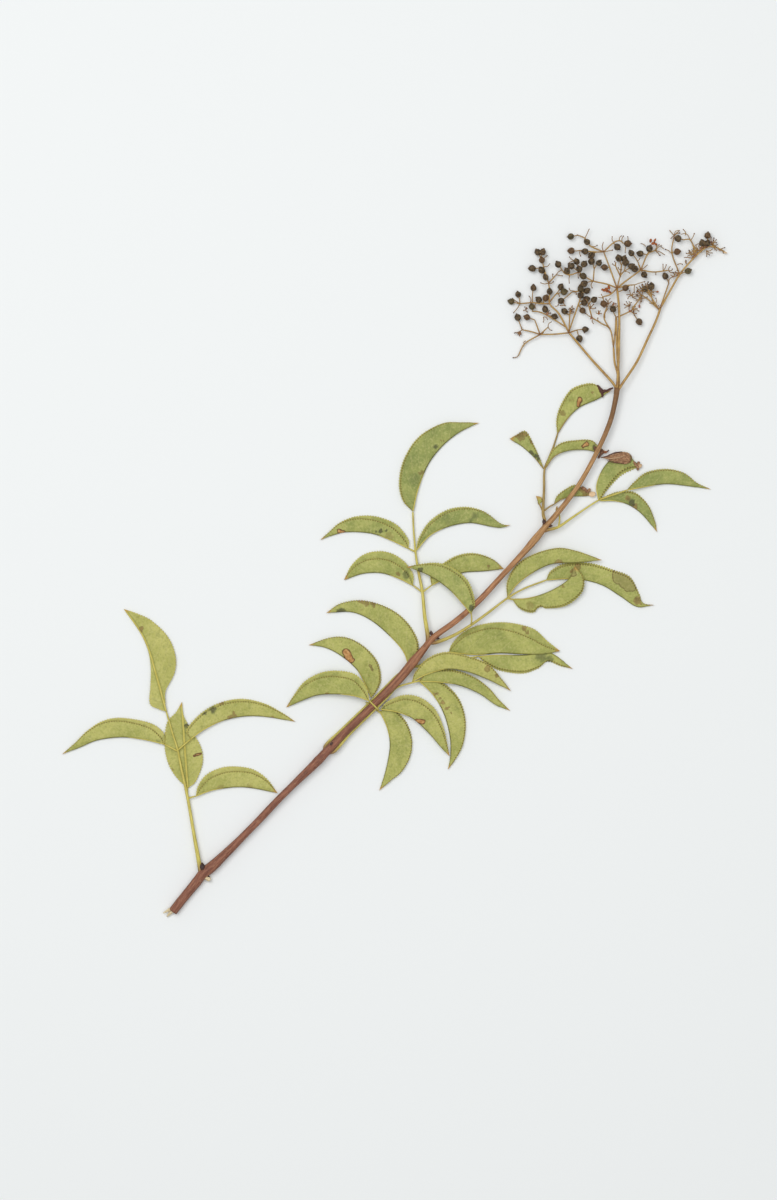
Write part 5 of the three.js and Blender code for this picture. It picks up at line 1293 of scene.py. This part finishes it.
# %% The middle rays
spray("spray_middle", limbs=[
    limb(840, 720, 43, 844, 807, 40, 847, 977, 38, 839, 1075, 36, radii=(0.62, 0.55)),
    limb(839, 1075, 36, 806, 1167, 32, 789, 1212, 30, radii=(0.42, 0.36)),
    limb(789, 1212, 30, 739, 1235, 26, 719, 1264, 23, 692, 1276, 20),
    limb(789, 1212, 30, 754, 1213, 22, 702, 1219, 18),
    limb(789, 1212, 30, 826, 1247, 26, 851, 1255, 24, 863, 1245, 22),
    limb(839, 1075, 36, 800, 1090, 40, 749, 1101, 44, 714, 1120, 44, 695, 1135, 44,
        radii=(0.4, 0.34)),
    limb(749, 1101, 44, 753, 1147, 34),
    limb(695, 1135, 44, 661, 1124, 41, 640, 1131, 39),
    limb(839, 1075, 36, 851, 1120, 40, 865, 1138, 38),
    limb(851, 1120, 40, 856, 1162, 28),
    limb(851, 1120, 40, 833, 1157, 44),
    limb(839, 1075, 36, 871, 1101, 32, 929, 1144, 28, radii=(0.44, 0.38)),
    limb(929, 1144, 28, 954, 1202, 24, 982, 1218, 22),
    limb(929, 1144, 28, 918, 1173, 34),
    limb(929, 1144, 28, 978, 1137, 24, 1034, 1143, 28),
    limb(839, 1075, 36, 815, 1052, 36, 784, 1042, 34),
    limb(839, 1075, 36, 875, 1084, 42, 905, 1087, 44),
    limb(841, 747, 42, 830, 796, 36, 826, 854, 30, radii=(0.55, 0.5)),
    limb(826, 854, 30, 814, 920, 26, 777, 945, 26, 745, 965, 28, radii=(0.4, 0.34)),
    limb(745, 965, 28, 731, 1014, 34),
    limb(814, 920, 26, 790, 965, 32, 802, 1006, 36),
    limb(826, 854, 30, 833, 920, 26, 835, 969, 24),
    limb(835, 966, 24, 860, 975, 21, 892, 989, 19, 905, 977, 18),
    limb(892, 989, 19, 909, 1015, 22, 929, 1038, 22),
    limb(846, 717, 35, 840, 837, 29, 838, 913, 25, 837, 969, 23, radii=(0.6, 0.5)),
    limb(929, 1035, 22, 928, 1022, 16, 925, 1014, 12, radii=(0.2, 0.16))], fans=[
    (811, 1154, 32, 184, 19), (692, 1276, 20, 192, 27), (739, 1235, 26, 128, 19),
    (719, 1264, 23, 63, 43, 0, 1), (762, 1213, 24, 213, 23), (739, 1215, 20, 178, 19),
    (702, 1219, 18, 185, 33), (789, 1212, 30, 88, 40, 0, 1), (826, 1247, 26, -50, 23),
    (863, 1245, 22, 2, 18), (858, 1252, 23, 78, 24, 0, 1), (753, 1147, 34, 81, 29, 2, 0, 59),
    (749, 1101, 44, 193, 34), (728, 1113, 44, 160, 18), (695, 1135, 44, 100, 38, 3, 0, 92),
    (700, 1128, 44, 105, 18), (661, 1124, 41, 121, 18), (661, 1124, 41, 262, 32, 0, 1),
    (640, 1131, 39, 126, 40), (856, 1162, 28, 88, 29, 2, 0, 40), (865, 1138, 38, 56, 35, 2, 0, 40),
    (833, 1157, 44, 100, 20, 0, 1), (929, 1144, 28, 165, 24), (929, 1144, 28, -54, 21),
    (954, 1202, 24, 120, 26, 2, 0, 104), (982, 1218, 22, 5, 30, 0, 2, 100),
    (918, 1173, 34, 128, 44), (1013, 1141, 26, 60, 26, 0, 1), (784, 1042, 34, -84, 24),
    (841, 1060, 37, 29, 32), (905, 1087, 44, -40, 34, 0, 2, 110), (745, 965, 28, 150, 26, 0, 1),
    (731, 1014, 34, 37, 28), (731, 1014, 34, 120, 22, 0, 1), (802, 1006, 36, 90, 24, 0, 2, 80),
    (835, 969, 24, 108, 32), (905, 977, 18, -54, 34), (886, 988, 20, 80, 30, 0, 1),
    (929, 1038, 22, 60, 24, 0, 2, 90), (680, 1179, 20, 172, 23, 0, 2, 60),
    (693, 1134, 42, -93, 23, 0, 1), (703, 1220, 19, -93, 23, 0, 1), (746, 1233, 26, 12, 20, 0, 1),
    (827, 1248, 26, 104, 25, 0, 1), (849, 1255, 24, 70, 17, 0, 1), (790, 1211, 30, 13, 38, 0, 1),
    (747, 1099, 43, -94, 23, 0, 1), (788, 1040, 34, 149, 16, 0, 2, 60),
    (807, 1017, 34, 150, 17, 0, 4, 150), (828, 1000, 26, 90, 18, 0, 4, 120),
    (741, 1000, 32, 80, 15, 0, 4, 150), (769, 981, 30, 70, 12, 0, 4, 150),
    (749, 959, 27, -85, 18, 0, 1), (794, 962, 31, 75, 32, 0, 1), (878, 1241, 23, 83, 32, 0, 1),
    (872, 1232, 23, -94, 20, 0, 1), (947, 1233, 23, 149, 24, 0, 1),
    (986, 1218, 22, 70, 30, 0, 2, 60), (986, 1218, 22, -28, 38, 0, 1),
    (929, 1144, 29, 35, 32, 0, 1), (977, 1137, 25, -45, 14, 0, 1), (1013, 1141, 26, 95, 24, 0, 1),
    (1034, 1143, 27, 20, 18, 0, 3, 100), (917, 1177, 34, 50, 15, 0, 1),
    (858, 1143, 38, 150, 20, 0, 1), (868, 1137, 38, -15, 19, 0, 1),
    (834, 1158, 43, 120, 14, 0, 2, 60), (886, 1011, 21, 130, 16, 0, 5, 150),
    (900, 992, 20, 10, 18, 0, 6, 160), (929, 1038, 22, 150, 18, 0, 3, 110),
    (896, 1047, 26, 90, 18, 0, 6, 250), (852, 920, 34, 160, 8, 0, 1),
    (777, 948, 26, 120, 16, 0, 1)], crumbs=[
    (796, 1069, 36, 11.5, 6, 35, 0.1, 1), (808, 1078, 36, 9, 5, 100, 0.1, 1),
    (812, 1060, 35, 9, 4.5, -40, 0, 1), (787, 1069, 35, 8, 4, 170, 0.1, 1),
    (802, 1064, 39, 7, 5, 10, 0.1, 0.9), (966, 1255, 27, 8, 4.5, 75, 0.3, 1),
    (982, 1256, 26, 8, 4, 60, 0.3, 1), (985, 1242, 25, 7, 4, -30, 0.2, 1),
    (975, 1244, 28, 8, 5, 20, 0.2, 1), (925, 1009, 10, 6.2, 3.2, 88, -0.5, 0.75),
    (743, 963, 31, 6, 4, 40, 0, 0.6), (771, 981, 31, 6, 3.5, 80, -0.1, 0.7),
    (739, 1001, 33, 5, 3, 120, -0.5, 0.4), (827, 1017, 28, 7, 3.5, 85, -0.3, 0.5),
    (888, 990, 22, 5, 3, 20, -0.2, 0.8), (803, 1018, 35, 6, 3, 60, -0.6, 0.3),
    (902, 988, 21, 6, 3, 70, -0.6, 0.3), (885, 1009, 22, 5, 3, 20, -0.6, 0.3)])

# %% The right ray
spray("spray_right", limbs=[
    limb(855, 710, 42, 913, 797, 30, 954, 883, 24, 986, 952, 22, 1003, 1001, 22,
        radii=(0.62, 0.55)),
    limb(1003, 1001, 22, 1034, 1056, 22, 1076, 1128, 22, 1129, 1190, 22, 1170, 1226, 22,
        1203, 1233, 20, 1245, 1216, 14, radii=(0.5, 0.34)),
    limb(999, 994, 22, 958, 1034, 18, 933, 1051, 14),
    limb(999, 994, 22, 969, 1042, 26, 954, 1075, 28),
    limb(1005, 1009, 22, 1035, 1095, 14),
    limb(1076, 1128, 22, 1047, 1210, 18, 1056, 1275, 16),
    limb(1138, 1198, 22, 1117, 1256, 26, 1090, 1258, 24),
    limb(1117, 1256, 26, 1101, 1281, 24, 1080, 1279, 22, radii=(0.24, 0.2)),
    limb(1056, 1275, 16, 1060, 1291, 18, 1076, 1295, 20, radii=(0.22, 0.18)),
    limb(1117, 1256, 26, 1128, 1237, 25, 1143, 1216, 23, radii=(0.3, 0.22)),
    limb(966, 1060, 24, 979, 1064, 22, 988, 1062, 19, radii=(0.2, 0.16))], fans=[
    (933, 1051, 14, 140, 32, 0, 2, 110), (969, 1042, 26, 109, 38, 2, 0, 44),
    (954, 1075, 28, 110, 22, 0, 2, 60), (1035, 1095, 14, 119, 30), (1035, 1095, 14, 70, 26, 0, 1),
    (1076, 1128, 22, 21, 32), (1047, 1210, 18, 7, 20), (1056, 1275, 16, 80, 22, 0, 2, 100),
    (1090, 1258, 24, 169, 22), (1125, 1188, 22, 110, 30, 0, 3, 120),
    (1150, 1209, 22, 110, 28, 0, 2, 120), (1170, 1226, 22, 90, 21, 2, 0, 52),
    (1177, 1243, 24, 81, 31), (1196, 1233, 20, 20, 28, 0, 2, 110), (1017, 1225, 19, 147, 16, 0, 1),
    (1046, 1207, 19, 147, 34, 0, 1), (1056, 1275, 16, 40, 26, 0, 1),
    (1056, 1275, 16, 225, 18, 0, 1), (1097, 1275, 24, 108, 20, 0, 1),
    (1117, 1256, 26, 64, 27, 0, 1), (1138, 1239, 24, 5, 20, 0, 1),
    (1129, 1202, 22, 125, 24, 0, 8, 130), (1150, 1216, 22, 120, 22, 0, 7, 150),
    (1173, 1232, 22, 110, 22, 0, 7, 170), (1196, 1241, 20, 20, 23, 0, 7, 150),
    (1177, 1218, 20, -40, 22, 0, 4, 100), (1226, 1222, 16, -10, 22, 0, 2, 60),
    (1067, 1164, 19, 10, 20, 0, 1), (1101, 1167, 22, 95, 14, 0, 2),
    (1056, 1122, 20, 120, 16, 0, 5, 170), (1076, 1128, 22, 150, 18, 0, 3, 60),
    (951, 1073, 28, 90, 22, 0, 8, 230), (934, 1067, 22, 120, 22, 0, 7, 200),
    (962, 1056, 24, 60, 20, 0, 5, 170), (984, 1018, 22, 130, 18, 0, 3, 90),
    (1003, 1001, 23, 120, 13, 0, 3, 80), (933, 1049, 15, 200, 20, 0, 4, 140)], crumbs=[
    (992, 1063, 18, 6, 3.4, 5, -0.4, 0.8), (1051, 1120, 21, 5, 3, 20, 0, 0.5),
    (1067, 1127, 23, 5, 3, 60, -0.1, 0.5), (1132, 1198, 24, 10, 5, 50, -0.3, 0.4),
    (1156, 1226, 26, 10, 5, 45, 0, 0.4), (1175, 1233, 27, 9, 5, 30, -0.5, 0.2),
    (1192, 1249, 24, 8, 4, 10, -0.5, 0.3), (1227, 1221, 17, 6, 3, -30, 0, 0.5),
    (1247, 1212, 13, 9, 3, -25, 0.8, 0.1), (947, 1075, 30, 6, 3.5, 120, -0.4, 0.5),
    (917, 1066, 20, 7, 3, 60, -0.6, 0.3), (964, 1079, 26, 4, 3, 30, -0.1, 0.6)])

# %% The head of berries
HUB = Vector(STEM_AXIS[-1])  # where the stem ends and the branches of the head part
HUB_REACH = 6.0  # a branch that begins nearer to it than this starts in the stem, mm
DRIED_IN = 0.13  # how far the branches have shrunk in from the frame's solid ones, mm


def fork_rust(along, t):
    return 0.75 * (1 - smooth_step(along, 0.3, 1.8))


def branch(stalks, thick, thin, path, rng):
    if (Vector(path[0]) - HUB).length < HUB_REACH:
        path = into_stem(path, thick, hugs=False)
    thick, thin = [max(radius - DRIED_IN, 0.7 * radius) for radius in (thick, thin)]
    tube(stalks, path, (thick, thick, (thick + thin) / 2, thin), sides=8, pitch=0.9,
         squash=0.9, rust=fork_rust)
    knob(stalks, Vector(path[0]), thick * 1.25, rng, rust=0.8, thick=1.0)


for name, parts in SPRAYS.items():
    rng = random.Random(name)
    stalks, skins, ends, crumbs = Growth(), Growth(), Growth(), Growth()
    for row in parts["limbs"]:
        branch(stalks, *row, rng)
    for row in parts["fans"]:
        fan(stalks, skins, ends, rng, *row)
    for row in parts["crumbs"]:
        crumb(crumbs, *row)
    stalks.piece(f"{name}_stalks", FRUIT_STALK, "fruit_stalk", name)
    skins.piece(f"{name}_berries", BERRY, "berry", name)
    ends.piece(f"{name}_crowns", WITHERED, "fruit_stalk", name)
    crumbs.piece(f"{name}_crumbs", WITHERED, "fruit_stalk", name, thickness=CRUMB_SHEET)

# %% [markdown]
# ## Floor, light and camera
# The cutting lies on a pale sheet and is seen from straight above. A large soft lamp
# above and to the left gives the folds a faint shadow, a weaker one opposite softens it,
# and a bright even sky fills the rest. A small lamp would be simpler, but its hard shadows
# would double every thin stalk.

# %% The floor
FLOOR_DROP = 0.2  # from the lowest leaf down to the sheet, mm
floor_bm, floor_mesh = bmesh.new(), bpy.data.meshes.new("floor")
bmesh.ops.create_grid(floor_bm, x_segments=1, y_segments=1, size=3.0)
floor_bm.to_mesh(floor_mesh)
floor_bm.free()
floor_mesh.materials.append(Paint("floor").finish(linear(241, 244, 244), 0.9))
floor = put("floor", floor_mesh)
floor.location.z = -FLOOR_DROP * MM


# %% The lights
def soft_lamp(name, spot, size, watts):
    light = bpy.data.lights.new(name, "AREA")
    light.size, light.energy = size, watts
    lamp = put(name, light)
    lamp.location = spot
    lamp.rotation_euler = (-Vector(spot)).to_track_quat("-Z", "Y").to_euler()


soft_lamp("key", (-0.45, 0.4, 1.5), 0.9, 13.0)
soft_lamp("fill", (0.4, -0.1, 1.5), 0.9, 4.5)
world = bpy.data.worlds.new("sky")
world.use_nodes = True
sky = world.node_tree.nodes["Background"].inputs
sky["Color"].default_value, sky["Strength"].default_value = (1.0, 1.0, 1.0, 1.0), 0.4
bpy.context.scene.world = world

# %% The camera
VIEW_WIDTH, VIEW_MIDDLE = 293.1, (-2.07 - CENTRE.x, -9.8 - CENTRE.y)  # mm
TALL = 1200 / 777  # height of the frame over its width
LENS, SENSOR = 100.0, 36.0
lens = bpy.data.cameras.new("camera")
lens.lens, lens.sensor_fit, lens.sensor_height, lens.clip_end = LENS, "VERTICAL", SENSOR, 20.0
camera = put("camera", lens)
distance = VIEW_WIDTH * TALL * LENS / SENSOR
camera.location = (VIEW_MIDDLE[0] * MM, VIEW_MIDDLE[1] * MM, distance * MM)
bpy.context.scene.camera = camera
bpy.context.scene.view_settings.view_transform = "Standard"
